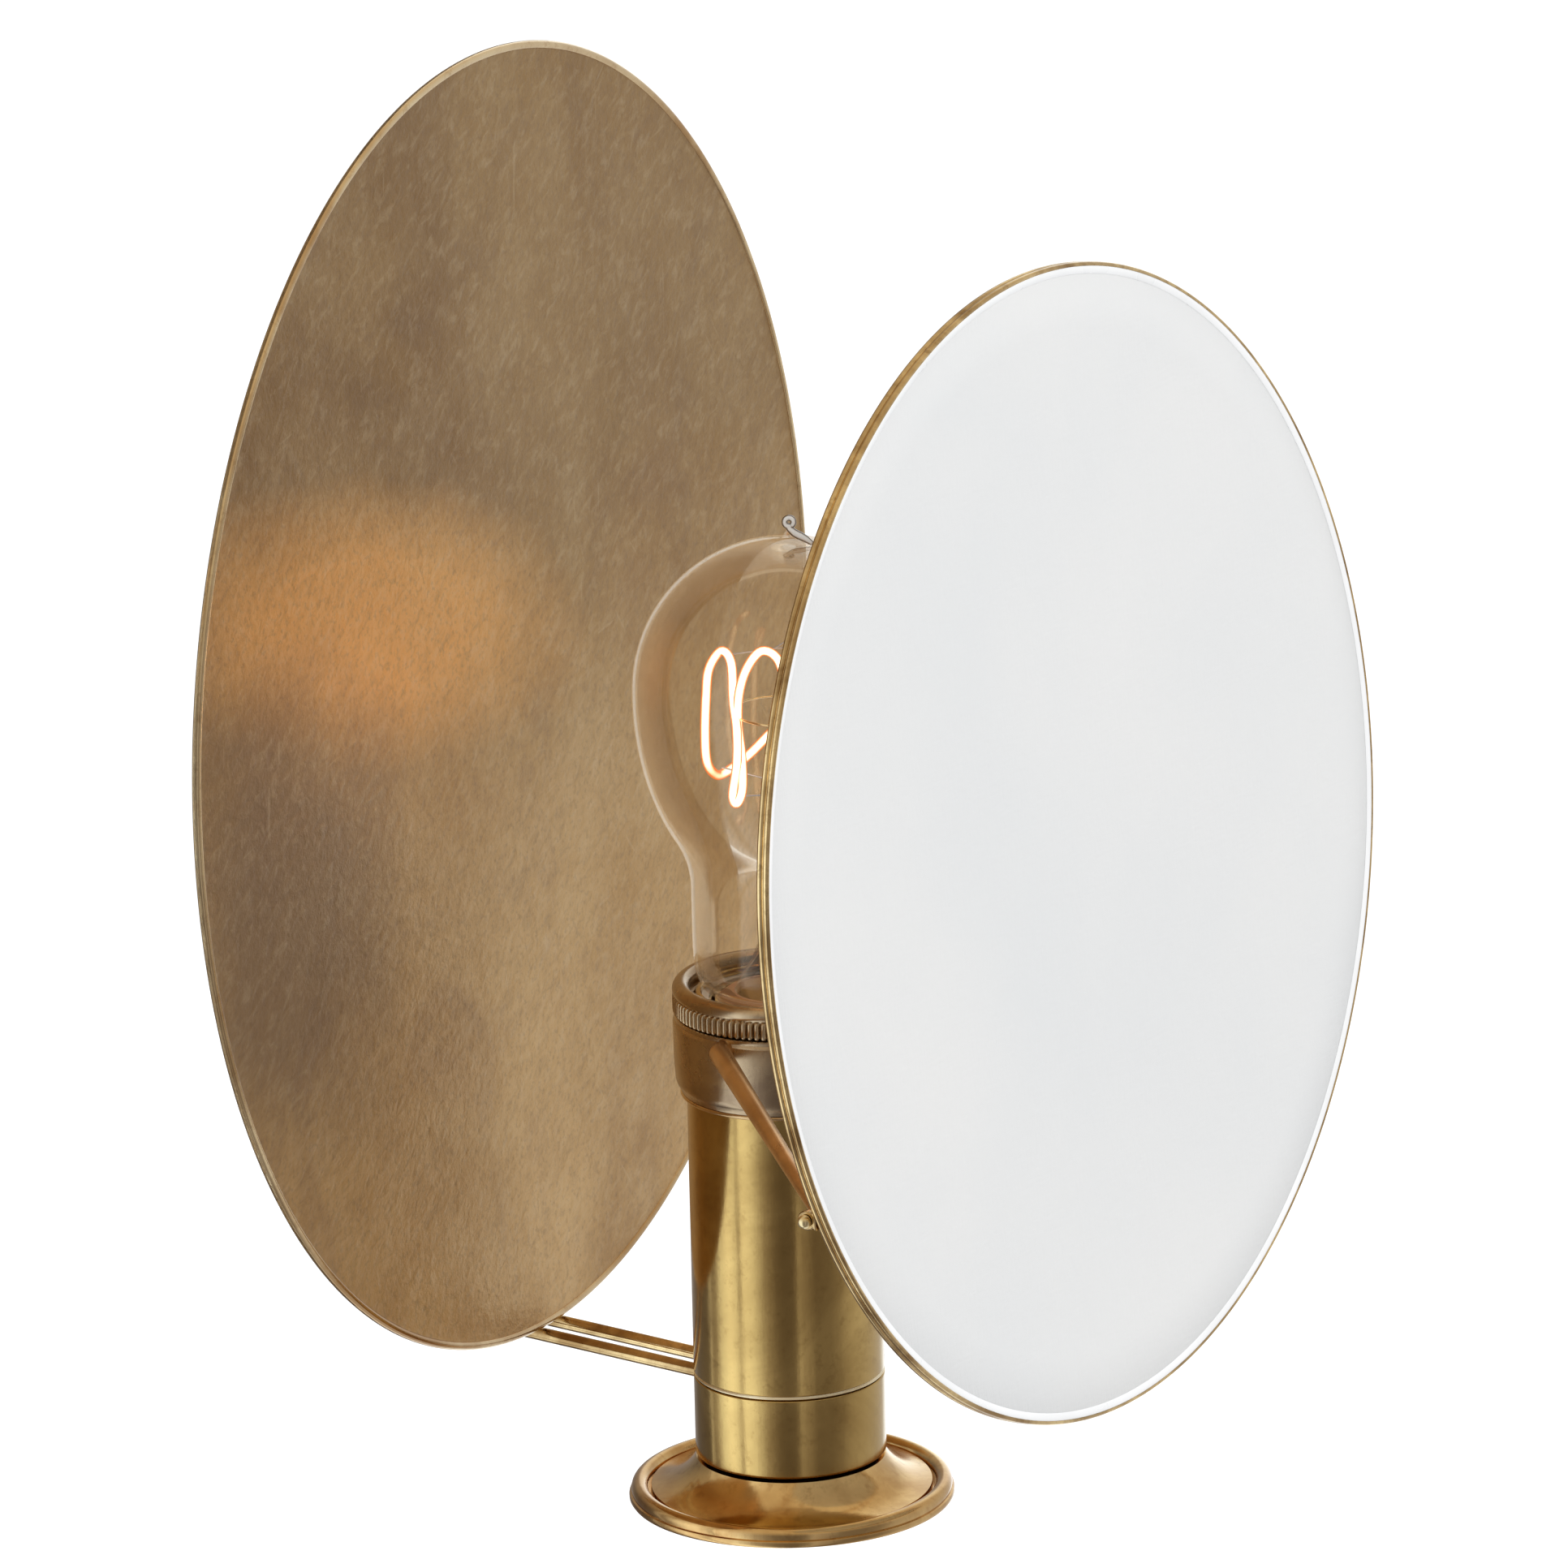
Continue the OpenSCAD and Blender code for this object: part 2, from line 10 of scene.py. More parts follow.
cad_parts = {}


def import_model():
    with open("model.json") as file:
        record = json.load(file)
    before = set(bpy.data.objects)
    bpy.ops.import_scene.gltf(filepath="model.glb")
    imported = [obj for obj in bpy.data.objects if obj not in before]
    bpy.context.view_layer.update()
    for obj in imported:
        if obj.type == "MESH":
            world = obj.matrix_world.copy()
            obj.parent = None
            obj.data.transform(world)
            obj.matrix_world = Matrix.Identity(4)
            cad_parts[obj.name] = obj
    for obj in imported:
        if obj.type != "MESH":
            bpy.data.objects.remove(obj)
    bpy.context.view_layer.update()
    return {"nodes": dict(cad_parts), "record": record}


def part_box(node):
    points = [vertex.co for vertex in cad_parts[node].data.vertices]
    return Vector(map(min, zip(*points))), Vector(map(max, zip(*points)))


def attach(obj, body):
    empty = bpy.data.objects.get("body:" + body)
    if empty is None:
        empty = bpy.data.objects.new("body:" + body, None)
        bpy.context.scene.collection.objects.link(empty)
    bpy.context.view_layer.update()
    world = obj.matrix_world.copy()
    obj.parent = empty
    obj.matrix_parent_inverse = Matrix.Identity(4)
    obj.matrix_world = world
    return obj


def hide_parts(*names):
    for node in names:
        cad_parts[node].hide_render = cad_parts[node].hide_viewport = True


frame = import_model()

MM = 0.001


def face(node, axis, side):
    """A face of a CAD node's box, in millimetres: axis 0 to 2, and side 0 for low or 1 for high."""
    return round(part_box(node)[side][axis] / MM, 2)


# The tube's axis, and the bottom of the tube below the wall plate's centre
STAND_OFF = -(face("foot", 1, 0) + face("foot", 1, 1)) / 2
LAMP_DROP = -face("lower_cup", 2, 0)


def height(node, side):
    """The lower or upper face of a CAD node's box, above the bottom of the tube."""
    return round(face(node, 2, side) + LAMP_DROP, 2)


# Sizes in millimetres that the CAD boxes show
REFLECTOR_R = face("reflector", 0, 1)
TUBE_R = face("tube_sleeve", 0, 1)
SLEEVE_TOP = height("tube_sleeve", 1)
FOOT_R = face("foot", 0, 1)
COLLAR_R = face("reeded_ring", 0, 1)
COLLAR_LOW, COLLAR_TOP = height("collar", 0), height("collar", 1)
RING_LOW, RING_TOP = height("reeded_ring", 0), height("reeded_ring", 1)
SKIRT_R = face("socket_skirt", 0, 1)
SKIRT_LOW, SKIRT_TOP = height("socket_skirt", 0), height("socket_skirt", 1)
BASE_R, BASE_TOP = face("bulb_base", 0, 1), height("bulb_base", 1)

# Sizes in millimetres and angles in degrees that they don't show, as in the CAD model
REFLECTOR_Y, REFLECTOR_LEAN = -28.0, 2.6
COLLAR_TURN = -5.4
TUBE_IN = TUBE_R - 1.2
SEAM = 16.6
REEDS, REED_TOP = 96, 94.4
DIFFUSER_R = 111.5
DIFFUSER_LEAN = 5.5
RIM_DEPTH, RIM_IN = 2.7, DIFFUSER_R - 0.8
PANEL_R = 110.1
PIVOT_Z = 88.1
ARM_R, ARM_ROOT_R, ARM_TIP_R = 1.75, 2.1, 1.4
ARM_REACH, ARM_SPREAD, ARM_STUB = 68.3, 101.6, 5.0
LUG_T, LUG_OUT, EYE_R = 1.4, 0.2, 1.9
HINGE_BACK, HINGE_DROP = 4.7, 45.8
ROD_R = 1.35
ROD_X = 4.05
ROD_Z = 15.1
ROD_RISE, ROD_BEND, ROD_WALL_GAP = 4.8, 6.0, 20.25
ROD_START, ROD_TOP = 11.2, 8.0
NIPPLE_HOLE_R = 5.1
BULB_R, BULB_Z = 30.0, 155.5
FILAMENT_R = 0.95

# The lamp's glass leans about a level axis, towards a level direction at right angles to it
GLASS_LEAN = 2.2
LEAN_AXIS = Vector((0.893, 0.451, 0))
LEAN_SIDE = Vector((LEAN_AXIS.y, -LEAN_AXIS.x, 0))

# Frames, in millimetres
LAMP = Matrix.Translation((0, -STAND_OFF, -LAMP_DROP))
HEAD = LAMP @ Matrix.Rotation(radians(COLLAR_TURN), 4, "Z")
DIFFUSER_Y = (-ARM_REACH - HINGE_BACK * cos(radians(DIFFUSER_LEAN))
              + HINGE_DROP * sin(radians(DIFFUSER_LEAN)))
DIFFUSER_Z = (PIVOT_Z + HINGE_BACK * sin(radians(DIFFUSER_LEAN))
              + HINGE_DROP * cos(radians(DIFFUSER_LEAN)))
DISC = (HEAD @ Matrix.Translation((0, DIFFUSER_Y, DIFFUSER_Z))
        @ Matrix.Rotation(radians(-DIFFUSER_LEAN), 4, "X"))
BACKWARDS = Matrix.Rotation(radians(-90), 4, "X")
DISC_LATHE = DISC @ BACKWARDS
REFLECTOR = (Matrix.Translation((0, REFLECTOR_Y, 0))
             @ Matrix.Rotation(radians(-REFLECTOR_LEAN), 4, "X") @ BACKWARDS)
GLASS = (LAMP @ Matrix.Translation((0, 0, BASE_TOP))
         @ Matrix.Rotation(radians(GLASS_LEAN), 4, LEAN_AXIS)
         @ Matrix.Translation((0, 0, -BASE_TOP)))


# ---------- node materials ----------

class Nodes:
    """Short ways to add shader nodes to one material."""

    def __init__(self, name):
        self.mat = bpy.data.materials.new(name)
        self.mat.use_nodes = True
        self.tree = self.mat.node_tree
        self.tree.nodes.clear()
        self.out = self.add("ShaderNodeOutputMaterial")
        self.coord = self.add("ShaderNodeTexCoord").outputs["Object"]

    def add(self, kind, **values):
        node = self.tree.nodes.new(kind)
        for key, value in values.items():
            setattr(node, key, value)
        return node

    def link(self, a, b):
        self.tree.links.new(a, b)

    def place(self, scale):
        """Coordinates scaled along each axis, so that a noise is drawn out along the small ones."""
        node = self.add("ShaderNodeMapping")
        node.inputs["Scale"].default_value = scale
        self.link(self.coord, node.inputs["Vector"])
        return node.outputs["Vector"]

    def along(self, angle, length):
        """Coordinates drawn out along one direction on the face of an upright disc."""
        node = self.add("ShaderNodeMapping", vector_type="TEXTURE")
        node.inputs["Scale"].default_value = (1, 1, length)
        node.inputs["Rotation"].default_value = (0, radians(angle), 0)
        self.link(self.coord, node.inputs["Vector"])
        return node.outputs["Vector"]

    def spot(self, place, size, lean=0.0, fray=0.5, grain=20.0):
        """1 inside a soft oval on the face of an upright disc, falling to 0 outside it.

        lean is how far the oval drops for each metre along x, fray how uneven its edge is.
        """
        split = self.add("ShaderNodeSeparateXYZ")
        self.link(self.coord, split.inputs[0])
        across = self.math("MULTIPLY_ADD", split.outputs["X"], 1 / size[0], -place[0] / size[0])
        level = self.math("MULTIPLY_ADD", split.outputs["Z"], 1 / size[1], -place[1] / size[1])
        level = self.math("MULTIPLY_ADD", across, lean * size[0] / size[1], level)
        reach = self.math("MULTIPLY_ADD", across, across, self.math("MULTIPLY", level, level))
        frayed = self.math("MULTIPLY", self.math("SUBTRACT", self.noise(grain, 3), 0.5), fray)
        reach = self.math("SQRT", reach)
        return self.ramp(self.math("ADD", reach, frayed), (0.40, 1.0), (0.95, 0.0))

    def noise(self, scale, detail=3.0, rough=0.5, distortion=0.0, vector=None):
        node = self.add("ShaderNodeTexNoise")
        node.inputs["Scale"].default_value = scale
        node.inputs["Detail"].default_value = detail
        node.inputs["Roughness"].default_value = rough
        node.inputs["Distortion"].default_value = distortion
        self.link(vector or self.coord, node.inputs["Vector"])
        return node.outputs["Fac"]

    def ramp(self, fac, *stops):
        node = self.add("ShaderNodeValToRGB")
        elements = node.color_ramp.elements
        while len(elements) < len(stops):
            elements.new(0.5)
        for element, (place, colour) in zip(elements, stops):
            element.position = place
            if not isinstance(colour, tuple):
                colour = (colour, colour, colour)
            element.color = (*colour, 1)
        self.link(fac, node.inputs["Fac"])
        return node.outputs["Color"]

    def math(self, op, a, b=0.0, c=0.0):
        node = self.add("ShaderNodeMath", operation=op)
        for socket, value in zip(node.inputs, (a, b, c)):
            if isinstance(value, (int, float)):
                socket.default_value = value
            else:
                self.link(value, socket)
        return node.outputs[0]

    def math_in(self, socket, factor):
        """An input that is multiplied by factor before it reaches the socket."""
        node = self.add("ShaderNodeMath", operation="MULTIPLY")
        node.inputs[1].default_value = factor
        self.link(node.outputs[0], socket)
        return node.inputs[0]

    def mix(self, fac, a, b, blend="MIX"):
        node = self.add("ShaderNodeMix", data_type="RGBA", blend_type=blend)
        for socket, value in ((node.inputs[0], fac), (node.inputs[6], a), (node.inputs[7], b)):
            if isinstance(value, (int, float)):
                socket.default_value = value
            elif isinstance(value, tuple):
                socket.default_value = (*value, 1)
            else:
                self.link(value, socket)
        return node.outputs[2]

    def bump(self, height, strength, distance, normal=None):
        node = self.add("ShaderNodeBump")
        node.inputs["Strength"].default_value = strength
        node.inputs["Distance"].default_value = distance
        self.link(height, node.inputs["Height"])
        if normal:
            self.link(normal, node.inputs["Normal"])
        return node.outputs["Normal"]

    def surface(self, shader):
        self.link(shader, self.out.inputs["Surface"])
        return self.mat

    def principled(self, colour, rough, normal=None, **values):
        node = self.add("ShaderNodeBsdfPrincipled")
        for socket, value in (("Base Color", colour), ("Roughness", rough)):
            if isinstance(value, (int, float)):
                node.inputs[socket].default_value = value
            elif isinstance(value, tuple):
                node.inputs[socket].default_value = (*value, 1)
            else:
                self.link(value, node.inputs[socket])
        for key, value in values.items():
            node.inputs[key.replace("_", " ")].default_value = value
        if normal:
            self.link(normal, node.inputs["Normal"])
        return node.outputs["BSDF"]


def aged_brass(name, light, dark, rough=(0.16, 0.30), patch=28.0, grain=420.0, speck=0.55):
    """Polished brass that has gone brown in soft patches, with fine rub marks."""
    n = Nodes(name)
    patches = n.noise(patch, 5, 0.6, 0.6)
    colour = n.mix(n.ramp(patches, (0.36, 0.0), (0.64, 1.0)), dark, light)
    specks = n.noise(grain, 4, 0.7)
    colour = n.mix(n.ramp(specks, (0.30, speck), (0.46, 0.0)), colour, dark)
    worn = n.ramp(n.noise(patch * 2.3, 4, 0.6), (0.3, rough[0]), (0.75, rough[1]))
    rub = n.noise(260, 5, 0.6, 0.3, n.place((1, 1, 0.12)))
    normal = n.bump(rub, 0.10, 0.0003)
    normal = n.bump(n.noise(900, 2, 0.5), 0.05, 0.0002, normal)
    return n.surface(n.principled(colour, worn, normal, Metallic=1.0))


def rubbed_brass(name):
    """The reflector: satin brass, rubbed by hand, in clouds, with painted light: a painted reflection of
    the bulb's glow, a painted dark reflection below it, painted shade towards its top and painted
    highlight and shade along the rub strokes.
    """
    n = Nodes(name)
    clouds = n.noise(8.0, 4, 0.55, 0.9)
    colour = n.ramp(clouds, (0.30, (0.42, 0.255, 0.115)), (0.48, (0.56, 0.365, 0.165)),
                    (0.68, (0.70, 0.485, 0.24)))
    fine = n.noise(60, 6, 0.65, 0.4)
    colour = n.mix(n.ramp(fine, (0.35, 0.0), (0.70, 0.30)), colour, (0.78, 0.59, 0.33))
    brown = n.noise(22, 5, 0.6, 1.2)
    colour = n.mix(n.ramp(brown, (0.52, 0.0), (0.72, 0.45)), colour, (0.36, 0.225, 0.13))
    split = n.add("ShaderNodeSeparateXYZ")
    n.link(n.coord, split.inputs[0])
    height = n.math("ADD", split.outputs["Z"], n.math("MULTIPLY", n.math("SUBTRACT", clouds, 0.5), 0.12))
    # Painted light and shade: the colour is made lighter towards the bottom of the disc and darker towards
    # its top.
    painted_light_and_shade = n.ramp(n.math("MULTIPLY_ADD", height, 3.9, 0.5),
                   (0.08, (1.16, 1.13, 1.08)), (0.28, (1.16, 1.13, 1.06)),
                   (0.45, (1.02, 0.99, 0.94)), (0.66, (0.74, 0.71, 0.68)), (0.95, (0.79, 0.76, 0.72)))
    colour = n.mix(1.0, colour, painted_light_and_shade, "MULTIPLY")
    # Painted reflection: an orange oval where the disc mirrors the bulb's glow, painted into the colour on
    # top of the real reflection.
    painted_glow_reflection = n.spot((-0.056, 0.030), (0.100, 0.031), 0.27, 0.35, 24)
    colour = n.mix(n.math("MULTIPLY", painted_glow_reflection, 0.82), colour, (0.96, 0.535, 0.18))
    # Painted reflection: a dark patch below the painted glow, where the disc mirrors something dark.
    dark = n.spot((-0.094, -0.018), (0.054, 0.062), 0.0, 0.8, 26)
    colour = n.mix(n.math("MULTIPLY", dark, 0.60), colour, (0.32, 0.225, 0.15))
    peel = n.noise(420, 3, 0.6)
    strokes = n.noise(420, 4, 0.65, 0.5, n.along(62, 2.0))
    # Painted highlight on the ridges of the rub strokes and painted shade in their grooves, over the
    # strokes' own bump.
    colour = n.mix(n.ramp(strokes, (0.50, 0.0), (0.72, 0.24)), colour, (0.84, 0.68, 0.44))
    colour = n.mix(n.ramp(strokes, (0.28, 0.26), (0.50, 0.0)), colour, (0.34, 0.22, 0.12))
    pits = n.noise(900, 2, 0.5)
    colour = n.mix(n.ramp(pits, (0.30, 0.25), (0.48, 0.0)), colour, (0.30, 0.20, 0.12))
    scratches = None
    for angle, scale in ((52, 620), (-37, 560), (81, 700), (8, 500)):
        line = n.ramp(n.noise(scale, 1.5, 0.5, 0.0, n.along(angle, 11.0)), (0.74, 0.0), (0.79, 1.0))
        scratches = line if scratches is None else n.math("MAXIMUM", scratches, line)
    colour = n.mix(n.math("MULTIPLY", scratches, 0.14), colour, (0.90, 0.74, 0.48))
    rough = n.ramp(n.noise(18, 4, 0.6), (0.3, 0.44), (0.7, 0.54))
    normal = n.bump(peel, 0.55, 0.0005)
    normal = n.bump(strokes, 0.45, 0.0005, normal)
    normal = n.bump(scratches, -0.10, 0.0002, normal)
    return n.surface(n.principled(colour, rough, normal, Metallic=1.0))


def plain_metal(name, colour, rough):
    """Clean metal with faint drawn lines."""
    n = Nodes(name)
    tone = n.mix(n.ramp(n.noise(60, 4, 0.6), (0.3, 0.0), (0.7, 1.0)),
                 tuple(0.82 * c for c in colour), colour)
    normal = n.bump(n.noise(500, 3, 0.6, 0.0, n.place((1, 1, 0.4))), 0.12, 0.0002)
    rough_map = n.ramp(n.noise(90, 3), (0.3, rough * 0.8), (0.7, rough * 1.25))
    return n.surface(n.principled(tone, rough_map, normal, Metallic=1.0))


def plain_solid(name, colour, rough, bump=0.05, scale=400):
    """A matt or glazed solid with a slightly uneven colour."""
    n = Nodes(name)
    tone = n.mix(n.ramp(n.noise(scale / 8, 3), (0.3, 0.0), (0.7, 1.0)),
                 tuple(0.93 * c for c in colour), colour)
    rough_map = n.ramp(n.noise(scale / 4, 3), (0.3, rough * 0.85), (0.7, rough * 1.15))
    return n.surface(n.principled(tone, rough_map, n.bump(n.noise(scale, 3), bump, 0.0002)))


def linen_glass(name):
    """The diffuser's panel: white, with a fine linen tooth, and letting some light through."""
    n = Nodes(name)
    warp = n.noise(1400, 2, 0.5, 0.0, n.place((1, 1, 0.18)))
    weft = n.noise(1400, 2, 0.5, 0.0, n.place((0.18, 1, 1)))
    tooth = n.math("ADD", warp, weft)
    cloud = n.noise(14, 3, 0.5, 0.3)
    colour = n.mix(n.ramp(cloud, (0.3, 0.0), (0.7, 1.0)), (0.845, 0.86, 0.87), (0.885, 0.89, 0.89))
    # The valleys of the linen tooth are a little darker: painted shade over the tooth's bump.
    colour = n.mix(n.ramp(tooth, (0.42, 0.20), (0.60, 0.0)), colour, (0.62, 0.63, 0.64))
    body = n.principled(colour, 0.55, n.bump(tooth, 0.20, 0.0003))
    through = n.add("ShaderNodeBsdfTranslucent")
    through.inputs["Color"].default_value = (0.93, 0.94, 0.95, 1)
    mixer = n.add("ShaderNodeMixShader")
    mixer.inputs[0].default_value = 0.12
    n.link(body, mixer.inputs[1])
    n.link(through.outputs[0], mixer.inputs[2])
    return n.surface(mixer.outputs[0])


def clear_glass(name):
    """Thin blown glass: clear face on, warmer and shinier towards its outline."""
    tint, edge = (0.985, 0.97, 0.945), (0.93, 0.86, 0.77)
    n = Nodes(name)
    facing = n.add("ShaderNodeLayerWeight")
    facing.inputs["Blend"].default_value = 0.22
    ripple = n.bump(n.noise(30, 2, 0.5, 0.4), 0.10, 0.002)
    n.link(ripple, facing.inputs["Normal"])
    see = n.add("ShaderNodeBsdfTransparent")
    n.link(n.mix(n.ramp(facing.outputs["Facing"], (0.72, 0.0), (1.0, 1.0)), tint, edge),
           see.inputs["Color"])
    shine = n.add("ShaderNodeBsdfGlossy")
    shine.inputs["Color"].default_value = (1, 0.90, 0.76, 1)
    shine.inputs["Roughness"].default_value = 0.04
    n.link(ripple, shine.inputs["Normal"])
    mixer = n.add("ShaderNodeMixShader")
    n.link(n.ramp(facing.outputs["Fresnel"], (0.0, 0.02), (0.5, 0.17), (1.0, 0.48)), mixer.inputs[0])
    n.link(see.outputs[0], mixer.inputs[1])
    n.link(shine.outputs[0], mixer.inputs[2])
    return n.surface(mixer.outputs[0])


def tip_glass(name):
    """A solid drop of glass, drawn opaque with painted light: a painted highlight in its middle and
    painted shade at its outline.
    """
    n = Nodes(name)
    facing = n.add("ShaderNodeLayerWeight")
    facing.inputs["Blend"].default_value = 0.45
    across = n.math("ADD", facing.outputs["Facing"], n.math("MULTIPLY", n.noise(500, 2), 0.1))
    # Painted highlight where the tip faces the camera, painted shade towards its outline.
    colour = n.ramp(across, (0.14, (0.98, 0.96, 0.92)), (0.34, (0.36, 0.27, 0.19)),
                    (0.52, (0.04, 0.03, 0.02)))
    return n.surface(n.principled(colour, 0.08, n.bump(n.noise(200, 2), 0.05, 0.0003)))


def glowing(name, hot, edge, strength):
    """A hot wire: nearly white along its middle, orange at its edges."""
    n = Nodes(name)
    facing = n.add("ShaderNodeLayerWeight")
    facing.inputs["Blend"].default_value = 0.5
    light = n.add("ShaderNodeEmission")
    wobble = n.math("MULTIPLY", n.noise(300, 2), 0.12)
    across = n.math("ADD", facing.outputs["Facing"], wobble)
    n.link(n.ramp(across, (0.20, hot), (0.60, edge)), light.inputs["Color"])
    n.link(n.ramp(across, (0.20, 1.0), (0.62, 0.30)), n.math_in(light.inputs["Strength"], strength))
    return n.surface(light.outputs[0])


BRASS = aged_brass("tube_brass", (0.66, 0.45, 0.16), (0.40, 0.25, 0.08), (0.10, 0.22))
WARM_BRASS = aged_brass("collar_brass", (0.62, 0.46, 0.27), (0.34, 0.24, 0.15), (0.20, 0.34), 45)
FOOT_BRASS = aged_brass("foot_brass", (0.84, 0.58, 0.25), (0.50, 0.28, 0.10), (0.10, 0.22), 35)
RIM_BRASS = aged_brass("rim_brass", (0.88, 0.65, 0.32), (0.36, 0.22, 0.09), (0.10, 0.20), 60)
ARM_BRASS = aged_brass("arm_brass", (0.82, 0.52, 0.24), (0.60, 0.35, 0.14), (0.26, 0.38), 50, 300, 0.15)
REFLECTOR_BRASS = rubbed_brass("reflector_brass")
# Pale brass for the seam's edge: a painted highlight.
SEAM_HIGHLIGHT_BRASS = aged_brass("seam_painted_highlight", (1.0, 0.90, 0.64), (0.86, 0.68, 0.40), (0.30, 0.42), 40)
# Lighter brass for the reflector's lip and the collar's bead: a painted highlight.
LIP_HIGHLIGHT_BRASS = aged_brass("lip_painted_highlight", (0.92, 0.72, 0.42), (0.50, 0.30, 0.13), (0.16, 0.26), 18)
BRIGHT_BRASS = plain_metal("bright_brass", (0.88, 0.70, 0.38), 0.22)
STEEL = plain_metal("zinc_steel", (0.62, 0.63, 0.65), 0.32)
PORCELAIN = plain_solid("porcelain", (0.86, 0.82, 0.74), 0.22, 0.03, 200)
WIRE_COVER = plain_solid("wire_cover", (0.82, 0.80, 0.74), 0.5)
BLACK_GLASS = plain_solid("black_glass", (0.03, 0.03, 0.035), 0.15, 0.03, 200)
LINEN = linen_glass("white_glass")
CLEAR = clear_glass("clear_glass")
CEMENT = plain_solid("base_cement", (0.72, 0.42, 0.24), 0.45, 0.10, 300)
GLOW = glowing("filament_glow", (1.0, 0.74, 0.50), (1.0, 0.24, 0.06), 3.4)
# White lighter than the pane: a painted highlight along the pane's edge.
PANE_EDGE_HIGHLIGHT = plain_solid("pane_edge_painted_highlight", (0.96, 0.97, 0.98), 0.3, 0.02, 400)
TIP_GLASS = tip_glass("tip_glass")

SLOT_LOOKS = {"aged_brass": BRASS, "bright_brass": BRIGHT_BRASS, "steel": STEEL,
              "porcelain": PORCELAIN, "wire_cover": WIRE_COVER, "black_glass": BLACK_GLASS}


# ---------- mesh code ----------

def arc(cx, cy, r, a, b, n):
    """Points on an arc from angle a to b in degrees, in n steps."""
    return [(cx + r * cos(radians(a + (b - a) * i / n)), cy + r * sin(radians(a + (b - a) * i / n)))
            for i in range(n + 1)]


def circle(r, z, n):
    """n points on a level circle about Z."""
    return [(r * cos(2 * pi * i / n), r * sin(2 * pi * i / n), z) for i in range(n)]


class Shape:
    """Collects parts of one piece, in millimetres in a frame of its own."""

    def __init__(self):
        self.verts, self.faces = [], []

    def grid(self, rows, wrap_rows=False):
        """Faces between rows of points. A row of one point is a pole, and rows close on themselves."""
        starts = []
        for row in rows:
            starts.append(len(self.verts))
            self.verts += [Vector(p) for p in row]
        pairs = list(zip(range(len(rows) - 1), range(1, len(rows))))
        if wrap_rows:
            pairs.append((len(rows) - 1, 0))
        for a, b in pairs:
            la, lb = len(rows[a]), len(rows[b])
            n = max(la, lb)
            if n == 1:
                continue
            for i in range(n):
                j = (i + 1) % n
                corners = [starts[a] + i % la, starts[a] + j % la,
                           starts[b] + j % lb, starts[b] + i % lb]
                face = []
                for c in corners:
                    if c not in face:
                        face.append(c)
                if len(face) > 2:
                    self.faces.append(face)
        return self

    def lathe(self, profile, n):
        """Turns (radius, height) points about Z. A profile from axis to axis isn't closed."""
        rows = [[(0, 0, z)] if r < 1e-6 else circle(r, z, n) for r, z in profile]
        return self.grid(rows, len(rows[0]) > 1 or len(rows[-1]) > 1)

    def sweep(self, path, radius, sides, round_ends=False):
        """A round rod along the path. radius is a number or one per point."""
        path = [Vector(p) for p in path]
        radii = radius if isinstance(radius, list) else [radius] * len(path)
        rows, side = [], None
        for i, p in enumerate(path):
            ahead = path[min(i + 1, len(path) - 1)] - path[max(i - 1, 0)]
            ahead.normalize()
            if side is None:
                side = ahead.orthogonal().normalized()
            side = (side - ahead * side.dot(ahead)).normalized()
            other = ahead.cross(side)
            rows.append([p + radii[i] * (side * cos(2 * pi * k / sides) + other * sin(2 * pi * k / sides))
                         for k in range(sides)])
        steps = 5 if round_ends else 1

        def cap(ring, tip, along, r):
            """Rings from the last one to a point: a dome, or a flat end."""
            domed = []
            for k in range(1, steps):
                a = pi / 2 * k / steps
                domed.append([tip + (v - tip) * cos(a) + along * r * sin(a) for v in ring])
            return domed + [[tip + along * (r if round_ends else 0)]]

        start = cap(rows[0], path[0], (path[0] - path[1]).normalized(), radii[0])
        end = cap(rows[-1], path[-1], (path[-1] - path[-2]).normalized(), radii[-1])
        return self.grid(list(reversed(start)) + rows + end)

    def moved(self, matrix, start):
        """Moves the points from number start on."""
        for i in range(start, len(self.verts)):
            self.verts[i] = matrix @ self.verts[i]

    def build(self, name, body, look, matrix, replaces=(), slot="aged_brass", sharp=32.0):
        """Makes the Blender piece, which rides on its body and stands for its CAD nodes."""
        mesh = bpy.data.meshes.new(name)
        mesh.from_pydata([tuple((matrix @ v) * MM) for v in self.verts], [], self.faces)
        bm = bmesh.new()
        bm.from_mesh(mesh)
        bmesh.ops.recalc_face_normals(bm, faces=bm.faces)
        bm.to_mesh(mesh)
        bm.free()
        for polygon in mesh.polygons:
            polygon.use_smooth = True
        mesh.set_sharp_from_angle(angle=radians(sharp))
        obj = bpy.data.objects.new(name, mesh)
        bpy.context.scene.collection.objects.link(obj)
        mesh.materials.append(look)
        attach(obj, body)
        if replaces:
            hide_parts(*replaces)


# ---------- reflector ----------

